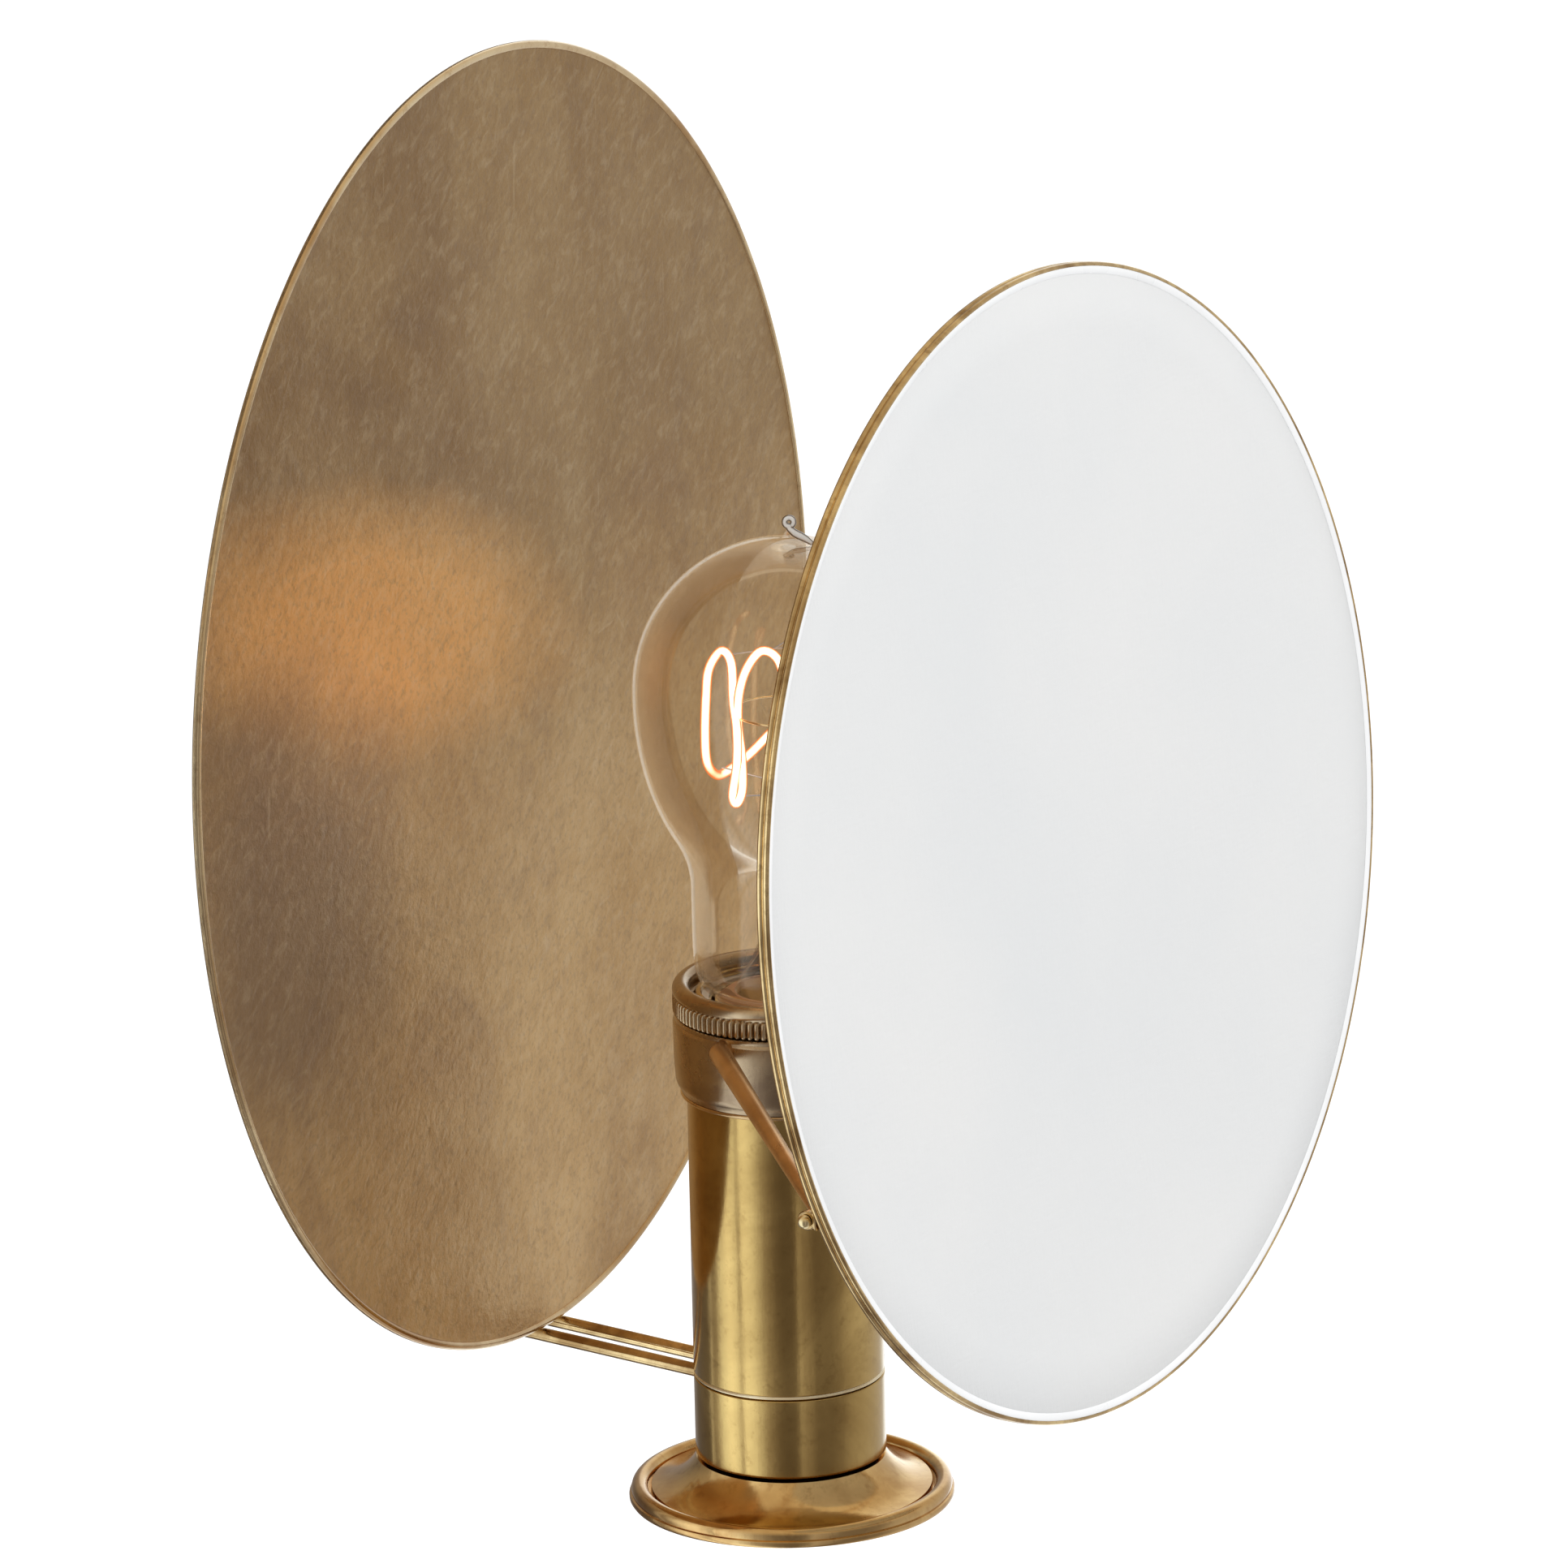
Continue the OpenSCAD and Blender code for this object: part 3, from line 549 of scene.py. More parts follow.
def reflector():
    """A thin spun disc, a little uneven from hand rubbing, with a fine rolled lip."""
    n, rings = 256, 60
    face, back_z = 0.1, 0.98
    lip, inner = 0.85, REFLECTOR_R - 2.2

    def wave(x, y):
        return (0.030 * sin(x / 9.1 + 1.3 * sin(y / 17.0)) * cos(y / 11.3)
                + 0.018 * sin((x + y) / 5.7) * sin((x - 1.7 * y) / 7.9))

    def row(r, z, rough=1.0):
        return [(x, y, z + rough * wave(x, y)) for x, y, z in circle(r, z, n)]

    radii = [inner * k / rings for k in range(1, rings + 1)]
    front = [[(0, 0, face)]] + [row(r, face, min(1, (inner - r) / 12)) for r in radii]
    bead = arc(REFLECTOR_R - lip, 0.45, lip, -150, 150, 16)
    edge = [row(r, z, 0) for r, z in bead]
    back = [row(r, back_z, 0) for r in (inner, inner * 0.7, inner * 0.35)] + [[(0, 0, back_z)]]
    shape = Shape().grid(front + edge + back)
    shape.build("reflector_disc", "frame", REFLECTOR_BRASS, REFLECTOR, ("reflector",),
                "reflector_brass", 40)
    # The lip is laid over again in lighter brass, a painted highlight along it.
    rolled = arc(REFLECTOR_R - lip - 0.03, 0.45, lip + 0.03, -150, 150, 16)
    Shape().lathe(rolled, n).build("reflector_lip", "frame", LIP_HIGHLIGHT_BRASS, REFLECTOR, (),
                                   "reflector_brass", 50)


# ---------- tube, cup and foot ----------

def tube_parts():
    """The lower cup with its spigot, the seam, whose edge is pale brass painted as a highlight, and the
    upper sleeve.
    """
    soft = 0.28
    cup = [(NIPPLE_HOLE_R, 0), (TUBE_R - 0.9, 0)] + arc(TUBE_R - 0.6, 0.6, 0.6, -75, 0, 5)
    gap = SEAM - 0.42
    cup += [(TUBE_R, gap - 0.6)] + arc(TUBE_R - soft, gap - soft, soft, 0, 80, 4)
    cup += [(TUBE_IN - 0.1, gap), (TUBE_IN - 0.1, SEAM + 7), (TUBE_IN - 1.3, SEAM + 7),
            (TUBE_IN - 1.3, SEAM - 6), (TUBE_IN, SEAM - 7.3), (TUBE_IN, 1.6),
            (NIPPLE_HOLE_R, 1.6)]
    Shape().lathe(cup, 192).build("tube_cup", "frame", BRASS, LAMP, ("lower_cup",))
    # The seam's edge: a thin ring of pale brass, a painted highlight along the joint.
    joint = [(TUBE_IN - 0.05, SEAM - 0.12), (TUBE_R - 0.06, SEAM - 0.12),
             (TUBE_R - 0.01, SEAM - 0.05), (TUBE_R - 0.03, SEAM + 0.06),
             (TUBE_R - 0.28, SEAM + 0.42), (TUBE_IN - 0.05, SEAM + 0.42)]
    Shape().lathe(joint, 192).build("seam_edge", "frame", SEAM_HIGHLIGHT_BRASS, LAMP, (), sharp=30)
    low = SEAM + 0.5
    sleeve = [(TUBE_IN, low)] + arc(TUBE_R - soft, low + soft, soft, -80, 0, 4)
    sleeve += [(TUBE_R, SLEEVE_TOP), (TUBE_IN, SLEEVE_TOP)]
    Shape().lathe(sleeve, 192).build("tube_sleeve_skin", "frame", BRASS, LAMP, ("tube_sleeve",))


def foot_part():
    """A spun foot: a hollow flare, a groove and a rolled bead."""
    r = FOOT_R
    cove = (r - 2.7, 5.5)
    outline = [(NIPPLE_HOLE_R, -1.7), (NIPPLE_HOLE_R, -0.5), (r - 14.6, -0.5)]
    outline += arc(cove[0], cove[1], 12.3, 210, 262, 18)
    outline += [(r - 4.35, -6.95), (r - 4.25, -7.75), (r - 3.85, -7.85)]
    outline += arc(r - 2.1, -7.35, 1.65, 175, 0, 14)
    outline += [(r - 0.5, -7.75), (r - 0.52, -8.0), (r - 0.15, -8.15), (r, -8.5), (r - 0.02, -9.0),
                (r - 0.3, -9.4), (r - 1.6, -9.4), (r - 2.6, -8.3)]
    outline += arc(cove[0], cove[1], 13.5, 262, 212, 18)
    outline += [(r - 15.8, -1.7)]
    Shape().lathe(outline, 192).build("foot_flare", "frame", FOOT_BRASS, LAMP, ("foot",), sharp=38)
    nut = [(0, -9.48), (3.5, -9.46)] + arc(0, -4.3, 6.4, -53, -14, 8)
    nut += [(6.6, -4.2), (7.2, -4.2), (7.5, -3.9), (7.5, -2.1), (7.2, -1.8), (0, -1.8)]
    Shape().lathe(nut, 64).build("foot_cap_nut", "frame", BRASS, LAMP, ("foot_nut",), sharp=38)


def bent_rod(side):
    """A support rod from inside the cup to the block behind the reflector."""
    rise = radians(ROD_RISE)
    bend = ROD_BEND
    run_y = STAND_OFF - ROD_WALL_GAP
    bend_y = run_y - bend
    start_y = bend_y + bend * sin(rise)
    bend_z = ROD_Z + (start_y - TUBE_R) * tan(rise) + bend * cos(rise)
    x = side * ROD_X
    inner = ROD_START - TUBE_R
    path = [(x, TUBE_R + inner * cos(rise), ROD_Z + inner * sin(rise))]
    for i in range(1, 8):
        y = path[0][1] + (start_y - path[0][1]) * i / 8
        path.append((x, y, ROD_Z + (y - TUBE_R) * tan(rise)))
    for i in range(13):
        a = radians(-90 + ROD_RISE) + (pi / 2 - rise) * i / 12
        path.append((x, bend_y + bend * cos(a), bend_z + bend * sin(a)))
    path += [(x, run_y, LAMP_DROP - 30), (x, run_y, LAMP_DROP - ROD_TOP)]
    return Shape().sweep(path, ROD_R, 32)


def rods():
    """The two support rods."""
    for side, name in ((-1, "left"), (1, "right")):
        bent_rod(side).build("support_rod_" + name, "frame", RIM_BRASS, LAMP, ("rod_" + name,),
                             sharp=50)


# ---------- collar, ring and socket ----------

def collar_band():
    """The collar and the bead round its lower edge."""
    r, top = COLLAR_R, COLLAR_TOP
    bore = TUBE_R + 0.07
    outline = [(bore, COLLAR_LOW + 0.2), (bore + 0.2, COLLAR_LOW)]
    outline += [(r - 1.75, COLLAR_LOW), (r - 1.6, COLLAR_LOW + 0.9), (r - 1.32, COLLAR_LOW + 1.0)]
    outline += arc(r - 3.4, COLLAR_LOW + 3.9, 3.1, -38, -8, 8)
    outline += [(r - 0.18, COLLAR_LOW + 5.6), (r - 0.05, COLLAR_LOW + 8), (r, top - 1.7),
                (r - 0.05, top - 1.4), (r - 0.3, top - 1.15), (r - 0.42, top - 0.9),
                (r - 0.3, top - 0.6), (r - 0.3, top - 0.15), (r - 0.5, top),
                (SKIRT_R + 0.25, top), (SKIRT_R + 0.25, SLEEVE_TOP + 0.2), (bore, SLEEVE_TOP + 0.2)]
    Shape().lathe(outline, 192).build("collar_band", "collar", WARM_BRASS, HEAD, ("collar",), sharp=36)
    # The bead is lighter brass, a painted highlight.
    Shape().lathe(arc(r - 1.62, COLLAR_LOW + 0.46, 0.46, 0, 345, 15), 192).build(
        "collar_bead", "collar", LIP_HIGHLIGHT_BRASS, HEAD, (), sharp=60)


def shade_ring():
    """The ring above the collar: half-round reeds below, a plain round lip above."""
    r, n = COLLAR_R, REEDS * 8
    reed = 0.78

    def row(depth, z, inset=0.0):
        """A ring of half-round reeds, with narrow valleys of the given depth between them."""
        points = []
        for i in range(n):
            angle = 2 * pi * i / n
            across = abs((angle * REEDS / (2 * pi)) % 1.0 - 0.5) * 2
            radius = r - depth * across ** 3 - inset
            points.append((radius * cos(angle), radius * sin(angle), z))
        return points

    def plain(radius, z):
        return circle(radius, z, n)

    rows = [plain(SKIRT_R + 0.08, RING_LOW), row(0.8, RING_LOW, 0.5), row(reed, RING_LOW + 0.35, 0.12),
            row(reed, RING_LOW + 0.7), row(reed, REED_TOP - 0.8), row(0.6, REED_TOP - 0.4, 0.06),
            plain(r - 0.42, REED_TOP - 0.15), plain(r - 0.30, REED_TOP + 0.1),
            plain(r - 0.04, REED_TOP + 0.45)]
    rows += [plain(x, z) for x, z in arc(r - 1.75, RING_TOP - 1.75, 1.75, 4, 92, 10)]
    rows += [plain(r - 2.5, RING_TOP - 0.12), plain(r - 3.1, RING_TOP - 0.75),
             plain(SKIRT_R + 0.62, RING_TOP - 1.0), plain(SKIRT_R + 0.55, RING_TOP - 3.4),
             plain(SKIRT_R + 0.08, RING_TOP - 3.5)]
    Shape().grid(rows, True).build("reeded_ring_turned", "ring", WARM_BRASS, LAMP, ("reeded_ring",),
                                   sharp=48)


def socket_skirt():
    """The skirt of the socket, which the ring screws onto."""
    s = SKIRT_R
    skirt_in, lip_in = 16.45, 15.5
    skirt = [(skirt_in, SKIRT_LOW), (s, SKIRT_LOW), (s, 93.2), (s - 0.35, 93.5), (s - 0.5, 94.5),
             (s - 0.75, 94.9), (s - 1.0, SKIRT_TOP), (lip_in + 0.25, SKIRT_TOP), (lip_in, 94.75),
             (lip_in, 93.7), (skirt_in, 93.7)]
    Shape().lathe(skirt, 128).build("socket_skirt_skin", "frame", BRASS, LAMP, ("socket_skirt",))


# ---------- arms ----------

def rounded_bend(a, corner, c):
    """Points on the curve that a rod takes round a corner from a to c, without its ends."""
    return [a * (1 - t) ** 2 + corner * 2 * t * (1 - t) + c * t * t
            for t in (i / 9 for i in range(1, 9))]


def head_arms():
    """Two tapered arms from the collar out to the diffuser's ears."""
    root_x = COLLAR_R + 1.6
    root_bend, elbow_bend = 0.9, 1.2
    elbow_x = ARM_SPREAD - ARM_STUB
    root, corner = Vector((root_x, 0, 0)), Vector((elbow_x, -ARM_REACH, 0))
    direction = (corner - root).normalized()
    leaves, reaches = root + direction * root_bend, corner - direction * elbow_bend
    for side, name in ((-1, "left"), (1, "right")):
        path = [Vector((TUBE_R + 0.22, 0, 0)), Vector((root_x - root_bend, 0, 0))]
        path += rounded_bend(path[1], root, leaves)
        path += [leaves.lerp(reaches, t) for t in (0.0, 0.25, 0.5, 0.75, 1.0)]
        path += rounded_bend(reaches, corner, corner + Vector((elbow_bend, 0, 0)))
        path.append(Vector((ARM_SPREAD - LUG_OUT - LUG_T - 0.25, -ARM_REACH, 0)))
        taper = []
        for p in path:
            along = max(0.0, min(1.0, (p[0] - root_x) / (elbow_x - root_x)))
            tapered = ARM_ROOT_R + (ARM_TIP_R - ARM_ROOT_R) * along
            taper.append(ARM_R if p[0] < COLLAR_R + 0.1 else tapered)
        shape = Shape().sweep([(side * p[0], p[1], p[2] + PIVOT_Z) for p in path], taper, 32)
        shape.build("head_arm_" + name, "yoke", ARM_BRASS, HEAD, ("arm_" + name,), sharp=50)


def pivot_screws():
    """The two screws that the diffuser's ears turn on, in the arms' ends."""
    neck, inner_end = ARM_SPREAD - LUG_OUT + 0.2, ARM_SPREAD - 5.8
    profile = [(0, inner_end), (0.8, inner_end), (0.8, neck), (1.15, neck)]
    profile += arc(0, neck + 0.4, 1.3, -18, 84, 10) + [(0, neck + 1.7)]
    shape = Shape()
    for side in (-1, 1):
        start_vertex = len(shape.verts)
        shape.lathe(profile, 32)
        shape.moved(Matrix.Translation((0, -ARM_REACH, PIVOT_Z))
                    @ Matrix.Rotation(radians(90 * side), 4, "Y"), start_vertex)
    shape.build("pivot_screws", "yoke", BRIGHT_BRASS, HEAD, ("arm_screws",), "bright_brass", 40)


# ---------- diffuser ----------

def diffuser_band():
    """The rim, with two beads one behind the other."""
    r = DIFFUSER_R
    bead = RIM_DEPTH / 4
    outline = [(PANEL_R + 0.1, 0.44), (RIM_IN, 0.42), (RIM_IN, 0.12)]
    outline += arc(r - bead, bead, bead, -78, 68, 12)
    outline += arc(r - bead, 3 * bead, bead, -68, 90, 12)
    outline += [(PANEL_R + 0.1, RIM_DEPTH)]
    Shape().lathe(outline, 256).build("diffuser_band", "diffuser", RIM_BRASS, DISC_LATHE,
                                      ("diffuser_rim",), sharp=40)


def diffuser_pane():
    """The white pane with a whiter ring at its edge, a painted highlight, and the ring behind it."""
    front, back = 0.45, 1.95
    panel = [(0, front)] + [((PANEL_R - 0.3) * k / 10, front) for k in range(1, 11)]
    panel += [(PANEL_R - 0.1, front + 0.15), (PANEL_R, front + 0.35), (PANEL_R, back - 0.3),
              (PANEL_R - 0.3, back)]
    panel += [((PANEL_R - 0.3) * k / 10, back) for k in range(9, 0, -1)] + [(0, back)]
    Shape().lathe(panel, 256).build("diffuser_pane", "diffuser", LINEN, DISC_LATHE,
                                    ("diffuser_panel",), "white_glass", 40)
    # A thin ring whiter than the pane round its edge: a painted highlight.
    edge = [(RIM_IN - 1.5, 0.43), (RIM_IN - 1.35, 0.33), (RIM_IN - 0.7, 0.18),
            (RIM_IN - 0.15, 0.14), (RIM_IN - 0.02, 0.2), (RIM_IN - 0.02, 0.41),
            (PANEL_R - 0.3, 0.41), (PANEL_R - 0.3, 0.44)]
    Shape().lathe(edge, 256).build("pane_edge", "diffuser", PANE_EDGE_HIGHLIGHT, DISC_LATHE, (), "white_glass", 40)
    ring = [(PANEL_R, 2.0), (PANEL_R, 2.5), (PANEL_R - 0.15, 2.6), (PANEL_R - 2.8, 2.6),
            (PANEL_R - 3.0, 2.45), (PANEL_R - 3.0, 2.0)]
    Shape().lathe(ring, 192).build("pane_ring", "diffuser", RIM_BRASS, DISC_LATHE, ("panel_ring",),
                                   sharp=40)


def rim_ears():
    """The two ears behind the rim, with round ends for the screws."""
    shape = Shape()
    x0 = ARM_SPREAD - LUG_OUT - LUG_T
    foot_y = RIM_DEPTH - HINGE_BACK
    outline = [(EYE_R * cos(radians(a)), EYE_R * sin(radians(a))) for a in range(-140, 141, 14)]
    outline += [(foot_y + 0.03, EYE_R), (foot_y + 0.03, -EYE_R)]
    for side in (-1, 1):
        plates = []
        for x, inset in ((x0, 0.2), (x0 + 0.2, 0.0), (x0 + LUG_T - 0.2, 0.0), (x0 + LUG_T, 0.2)):
            shrink = 1 - inset / EYE_R
            plates.append([(side * x, y * (shrink if y > foot_y else 1) + HINGE_BACK,
                            z * shrink - HINGE_DROP) for y, z in outline])
        shape.grid([[(side * x0, HINGE_BACK, -HINGE_DROP)]] + plates
                   + [[(side * (x0 + LUG_T), HINGE_BACK, -HINGE_DROP)]])
    shape.build("rim_ears", "diffuser", RIM_BRASS, DISC, ("rim_lugs",), sharp=40)


# ---------- lamp ----------

def glass_outline(inset):
    """The globe's outline from its base up to near the crown, set in by the glass's thickness."""
    neck_r, neck_slope, belly, belly_end = 17.9, radians(3), 43.0, radians(45)
    slope = atan(BULB_R * sin(belly_end) / (belly * cos(belly_end)))
    joint = (BULB_R * cos(belly_end), BULB_Z - belly * sin(belly_end))
    fillet = (joint[0] - neck_r) / (cos(neck_slope) - cos(slope))
    centre = (neck_r + fillet * cos(neck_slope), joint[1] - fillet * sin(slope))
    points = [(BASE_R - 0.3 - inset, BASE_TOP + 0.15), (BASE_R - 0.3 - inset, BASE_TOP + 0.8),
              (neck_r - 2.6 - inset, BASE_TOP + 2.4), (neck_r - 1.5 - inset, BASE_TOP + 4.2),
              (neck_r - 0.9 - inset, BASE_TOP + 6.8), (neck_r - 0.55 - inset, BASE_TOP + 10)]
    points += arc(centre[0], centre[1], fillet + inset, 177, 180 - degrees(slope), 14)
    for i in range(1, 16):
        a = belly_end * (1 - i / 15)
        points.append(((BULB_R - inset) * cos(a), BULB_Z - (belly - inset) * sin(a)))
    for i in range(1, 25):
        a = radians(86.5 * i / 24)
        points.append(((BULB_R - inset) * cos(a), BULB_Z + (BULB_R - inset) * sin(a)))
    return points


def in_glass(x, depth, z):
    """A point of the lamp: x to the side that the glass leans to, depth against the lean's axis."""
    return LEAN_SIDE * x - LEAN_AXIS * depth + Vector((0, 0, z))


def glass_parts():
    """The globe, the drawn tip on its crown and the stem inside."""
    crown = BULB_Z + BULB_R
    glass_t = 0.8
    outer = glass_outline(0)
    outer += [(1.5, crown + 0.3), (1.1, crown + 1.0), (0.7, crown + 1.8), (0.45, crown + 2.1),
              (0, crown + 2.2)]
    inner = [(0, crown - glass_t)] + list(reversed(glass_outline(glass_t)))
    Shape().lathe(outer + inner, 128).build("bulb_envelope", "lamp", CLEAR, GLASS, ("bulb_glass",),
                                            "clear_glass", 60)
    loop_r, loop_z = 0.86, crown + 3.6
    eyelet = [in_glass(loop_r * cos(radians(a)) - 0.1, 0, loop_z + loop_r * sin(radians(a)))
              for a in range(-40, 300, 20)]
    tail = [in_glass(x, 0, crown + z) for x, z in
            ((-0.3, 2.8), (0.1, 2.2), (0.9, 1.5), (2.0, 0.9), (3.2, 0.3), (4.2, -0.45))]
    tip = Shape().sweep(eyelet, 0.58, 12, True)
    tip.sweep(tail, [0.58, 0.65, 0.75, 0.8, 0.7, 0.5], 12, True)
    tip.build("bulb_tip", "lamp", TIP_GLASS, GLASS, (), "clear_glass", 60)
    stem = [(0, BASE_TOP + 1.5), (9.0, BASE_TOP + 1.5), (8.6, BASE_TOP + 3.0), (6.2, BASE_TOP + 7),
            (4.2, BASE_TOP + 12), (3.1, BASE_TOP + 17), (2.5, BASE_TOP + 24), (2.3, 128.5),
            (2.6, 129.4)] + arc(0, 131, 3.1, -20, 84, 10) + [(0, 134.1)]
    Shape().lathe(stem, 48).build("glass_stem", "lamp", CLEAR, GLASS, ("bulb_stem",),
                                  "clear_glass", 60)


def filament_parts():
    """The looped hot wire, the hooks that carry it and the round tie behind it."""
    # half of the wire, from the middle at the back to the middle at the front: x, depth, z
    half = [(3.6, -12, 149.2), (-2.3, -12, 143.5), (-7.0, -8, 139.7), (-11.6, -4, 137.2),
            (-13.6, -2, 137.6), (-15.2, 0, 140.9), (-15.6, 0, 147.0), (-15.5, 0, 154.0),
            (-15.0, 0, 159.5), (-12.7, 1, 163.3), (-10.8, 2, 161.2), (-10.3, 4, 154.4),
            (-9.5, 6, 148.8), (-9.4, 7, 142.3), (-10.1, 8, 136.4), (-9.3, 9, 135.0),
            (-8.3, 8, 137.6), (-8.5, 6, 143.5), (-9.3, 5, 149.8), (-9.2, 5, 155.9),
            (-7.7, 5, 161.2), (-4.9, 5, 164.6), (-1.7, 6, 163.0), (-0.3, 8, 157.0),
            (-0.4, 10, 146.0)]
    right_half = [(-x, depth, z) for x, depth, z in reversed(half[1:])]
    nodes = [in_glass(*p) for p in half + [(0, 11, 138.0)] + right_half]
    path, steps = [], 6
    for a, b, c, d in zip(nodes, nodes[1:], nodes[2:], nodes[3:]):
        for t in (k / steps for k in range(steps)):
            path.append(0.5 * (2 * b + (c - a) * t + (2 * a - 5 * b + 4 * c - d) * t * t
                               + (3 * b - a - 3 * c + d) * t ** 3))
    Shape().sweep(path, FILAMENT_R, 12, True).build("filament_loops", "lamp", GLOW, GLASS,
                                                    ("filament",), "filament_wire", 60)
    wires = Shape()
    wires.sweep([(0, 0, 134), (0, 0, 150), (0, 0, 165)], [0.95, 0.8, 0.7], 16, True)
    for side in (-1, 1):
        for x, depth, z in ((12.2, -3, 138.6), (9.4, 8.6, 136.4), (12.6, 1, 162.4), (4.9, 5, 163.7)):
            mast = Vector((0, 0, z - 2.2 if z < 150 else z + 1.6))
            hook = in_glass(side * x, depth, z)
            wires.sweep([mast.lerp(hook, t) for t in (0, 0.35, 0.7, 1)], 0.16, 10)
    wires.build("filament_hooks", "lamp", STEEL, GLASS, ("filament_supports",), "steel", 60)
    tie_r, tie_z = 10.5, 151.0
    tie = [in_glass(tie_r * cos(radians(a)), tie_r * sin(radians(a)), tie_z) for a in range(0, 361, 15)]
    Shape().sweep(tie, 0.22, 8).build("filament_tie", "lamp", BRIGHT_BRASS, GLASS, (), "steel", 60)


def lamp_base():
    """The screw base with its rolled thread, and the cement that shows above it."""
    cement = [(BASE_R - 0.9, BASE_TOP + 0.2), (12.2, BASE_TOP + 0.4), (10.4, BASE_TOP + 1.6),
              (9.1, BASE_TOP + 1.9), (8.9, BASE_TOP + 1.2), (8.9, BASE_TOP + 0.2)]
    Shape().lathe(cement, 96).build("base_cement", "lamp", CEMENT, LAMP, (), "porcelain", 40)
    n, turns = 96, 40
    pitch, ridge = 3.6, 0.33
    top, low = BASE_TOP - 2.2, BASE_TOP - 18.5

    def flat(r, z):
        return circle(r, z, n)

    def threaded(z):
        points = []
        for i in range(n):
            angle = 2 * pi * i / n
            r = BASE_R - 0.35 + ridge * sin(2 * pi * (BASE_TOP - z) / pitch + angle)
            points.append((r * cos(angle), r * sin(angle), z))
        return points

    rows = [flat(BASE_R - 1.4, BASE_TOP - 2), flat(BASE_R - 0.9, BASE_TOP),
            flat(BASE_R - 0.35, BASE_TOP - 0.1), flat(BASE_R - 0.2, BASE_TOP - 0.8)]
    rows += [threaded(top + (low - top) * k / turns) for k in range(turns + 1)]
    rows += [flat(12.4, 73.8), flat(9.6, 71.8), flat(7.0, 71.05), flat(6.4, 71.0),
             flat(11.0, 73.6), flat(BASE_R - 1.4, 76)]
    Shape().grid(rows, True).build("bulb_screw_base", "lamp", BRIGHT_BRASS, LAMP, ("bulb_base",),
                                   "bright_brass", 50)


# ---------- parts that keep their CAD shape ----------

KEPT = ("wall_strap", "wall_cover", "cover_screws", "hub_nipple", "hub_nut", "rod_block",
        "block_screws", "reflector_hub", "rod_nuts", "lamp_nipple", "cup_nut", "socket_plate",
        "socket_nut", "socket_body", "socket_shell", "centre_contact", "lead_wires",
        "bulb_insulator", "bulb_contact")


def kept_nodes():
    """CAD nodes that are shown as they are get the look of their material slot."""
    slots = {part["node"]: part["material_slot"] for part in frame["record"]["subparts"]}
    for name in KEPT:
        materials = frame["nodes"][name].data.materials
        materials.clear()
        materials.append(SLOT_LOOKS[slots[name]])


reflector()
tube_parts()
foot_part()
rods()
collar_band()
shade_ring()
socket_skirt()
head_arms()
pivot_screws()
diffuser_band()
diffuser_pane()
rim_ears()
glass_parts()
filament_parts()
lamp_base()
kept_nodes()


# ---------- floor, lights and camera ----------

def floor():
    """A plain pale floor well below the lamp."""
    n = Nodes("floor_paint")
    tone = n.mix(n.noise(3, 2), (0.93, 0.93, 0.93), (0.95, 0.95, 0.95))
    look = n.surface(n.principled(tone, 0.8, Emission_Color=(1, 1, 1, 1), Emission_Strength=0.42))
    mesh = bpy.data.meshes.new("floor")
    half, z = 12.0, -0.75
    mesh.from_pydata([(-half, -half, z), (half, -half, z), (half, half, z), (-half, half, z)], [],
                     [(0, 1, 2, 3)])
    obj = bpy.data.objects.new("floor", mesh)
    mesh.materials.append(look)
    bpy.context.scene.collection.objects.link(obj)
    obj.visible_glossy = obj.visible_diffuse = False


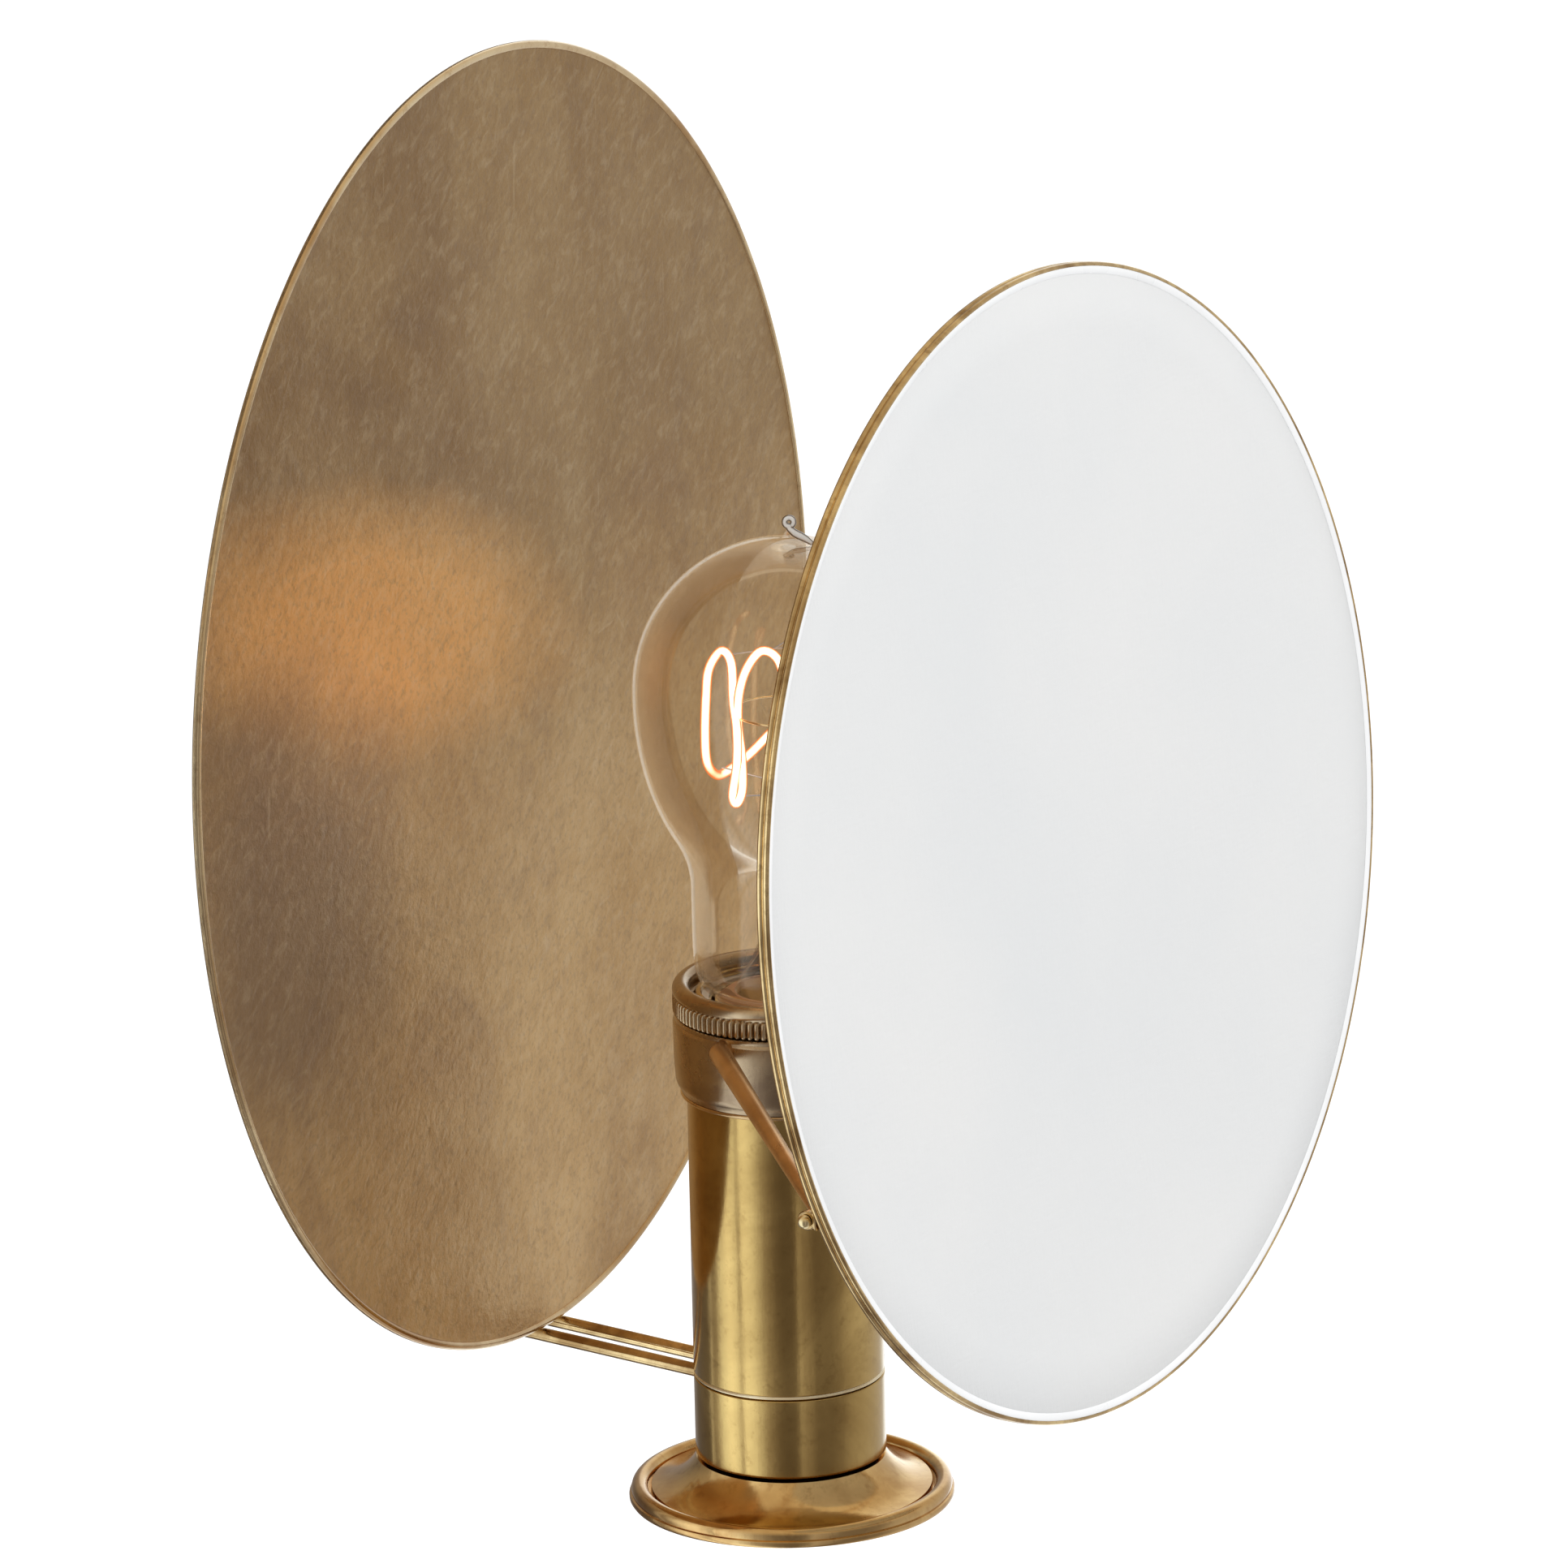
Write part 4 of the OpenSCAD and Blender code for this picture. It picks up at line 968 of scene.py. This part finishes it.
def world():
    """White to the camera, soft white to matt surfaces, and a studio with a dark side to metal."""
    studio = bpy.data.worlds.new("studio")
    bpy.context.scene.world = studio
    studio.use_nodes = True
    tree = studio.node_tree
    tree.nodes.clear()

    def add(kind, **values):
        node = tree.nodes.new(kind)
        for key, value in values.items():
            setattr(node, key, value)
        return node

    coord = add("ShaderNodeTexCoord")
    split = add("ShaderNodeSeparateXYZ")
    tree.links.new(coord.outputs["Generated"], split.inputs[0])
    turn = add("ShaderNodeMath", operation="ARCTAN2")
    tree.links.new(split.outputs["Y"], turn.inputs[0])
    tree.links.new(split.outputs["X"], turn.inputs[1])
    place = add("ShaderNodeMapRange")
    place.inputs["From Min"].default_value = -pi
    place.inputs["From Max"].default_value = pi
    tree.links.new(turn.outputs[0], place.inputs["Value"])
    ramp = add("ShaderNodeValToRGB")
    tree.links.new(place.outputs[0], ramp.inputs["Fac"])
    # azimuths in degrees from -180 to 180, with the brightness that metal sees there
    stops = [(-180, 0.46), (-167, 0.23), (-158, 0.18), (-146, 0.19), (-142, 0.30), (-139, 0.60),
             (-135, 0.42), (-128, 0.36), (-119, 0.22), (-100, 0.23), (-87, 0.31), (-76, 0.48),
             (-63, 0.58), (-48, 0.66), (-6, 0.70), (8, 1.35), (23, 1.30), (33, 0.35), (60, 0.16),
             (92, 0.16), (97, 0.70), (101, 0.25), (108, 0.45), (116, 1.05), (130, 1.50),
             (141, 1.20), (146, 0.50), (150, 1.45), (162, 1.25), (171, 0.85), (180, 0.46)]
    elements = ramp.color_ramp.elements
    while len(elements) < len(stops):
        elements.new(0.5)
    for element, (azimuth, value) in zip(elements, stops):
        element.position = (azimuth + 180) / 360
        dull = max(0.0, min(1.0, (1.0 - value) / 0.8))
        element.color = (value, value * (1.10 - 0.20 * dull), value * (1.22 - 0.36 * dull), 1)
    height = add("ShaderNodeValToRGB")
    tree.links.new(split.outputs["Z"], height.inputs["Fac"])
    bands = height.color_ramp.elements
    bands[0].position, bands[1].position = 0.10, 0.85
    bands[0].color, bands[1].color = (0, 0, 0, 1), (1, 1, 1, 1)
    both = add("ShaderNodeMix", data_type="RGBA")
    tree.links.new(height.outputs["Color"], both.inputs[0])
    tree.links.new(ramp.outputs["Color"], both.inputs[6])
    both.inputs[7].default_value = (0.64, 0.55, 0.43, 1)
    path = add("ShaderNodeLightPath")
    out = add("ShaderNodeOutputWorld")
    metal, matt, seen = (add("ShaderNodeBackground") for _ in range(3))
    tree.links.new(both.outputs[2], metal.inputs["Color"])
    metal.inputs["Strength"].default_value = 1.0
    matt.inputs["Strength"].default_value = 0.70
    seen.inputs["Strength"].default_value = 1.0
    for node in (matt, seen):
        node.inputs["Color"].default_value = (1, 1, 1, 1)
    glossy, camera = add("ShaderNodeMixShader"), add("ShaderNodeMixShader")
    tree.links.new(path.outputs["Is Glossy Ray"], glossy.inputs[0])
    tree.links.new(matt.outputs[0], glossy.inputs[1])
    tree.links.new(metal.outputs[0], glossy.inputs[2])
    tree.links.new(path.outputs["Is Camera Ray"], camera.inputs[0])
    tree.links.new(glossy.outputs[0], camera.inputs[1])
    tree.links.new(seen.outputs[0], camera.inputs[2])
    tree.links.new(camera.outputs[0], out.inputs["Surface"])


def area(name, place, target, size, power, colour):
    """A soft rectangular light that metal doesn't mirror."""
    data = bpy.data.lights.new(name, "AREA")
    data.shape = "RECTANGLE"
    data.size, data.size_y = size
    data.energy = power
    data.color = colour
    obj = bpy.data.objects.new(name, data)
    bpy.context.scene.collection.objects.link(obj)
    obj.location = place
    obj.rotation_euler = (Vector(target) - Vector(place)).to_track_quat("-Z", "Y").to_euler()
    obj.visible_camera = obj.visible_glossy = False


def camera():
    """A long lens, about 17 degrees above the lamp and 63 degrees round to its side."""
    data = bpy.data.cameras.new("camera")
    sensor, picture_widths = 36.0, 9.747153
    data.sensor_width = sensor
    data.lens = picture_widths * sensor
    data.clip_start, data.clip_end = 0.1, 60
    obj = bpy.data.objects.new("camera", data)
    obj.location = Vector((-2526.73, -1277.66 - STAND_OFF, 1000.11 - LAMP_DROP)) * MM
    obj.rotation_euler = (radians(73.0299), radians(1.2272), radians(-63.5812))
    bpy.context.scene.collection.objects.link(obj)
    bpy.context.scene.camera = obj


floor()
world()
area("key", (-1.2, -2.0, 1.6), (0, -0.08, 0), (1.6, 1.2), 32, (1, 0.99, 0.97))
area("fill", (2.2, -1.2, 0.8), (0, -0.08, 0), (1.4, 1.4), 12, (1, 0.99, 0.98))
camera()
bpy.context.scene.view_settings.view_transform = "Standard"
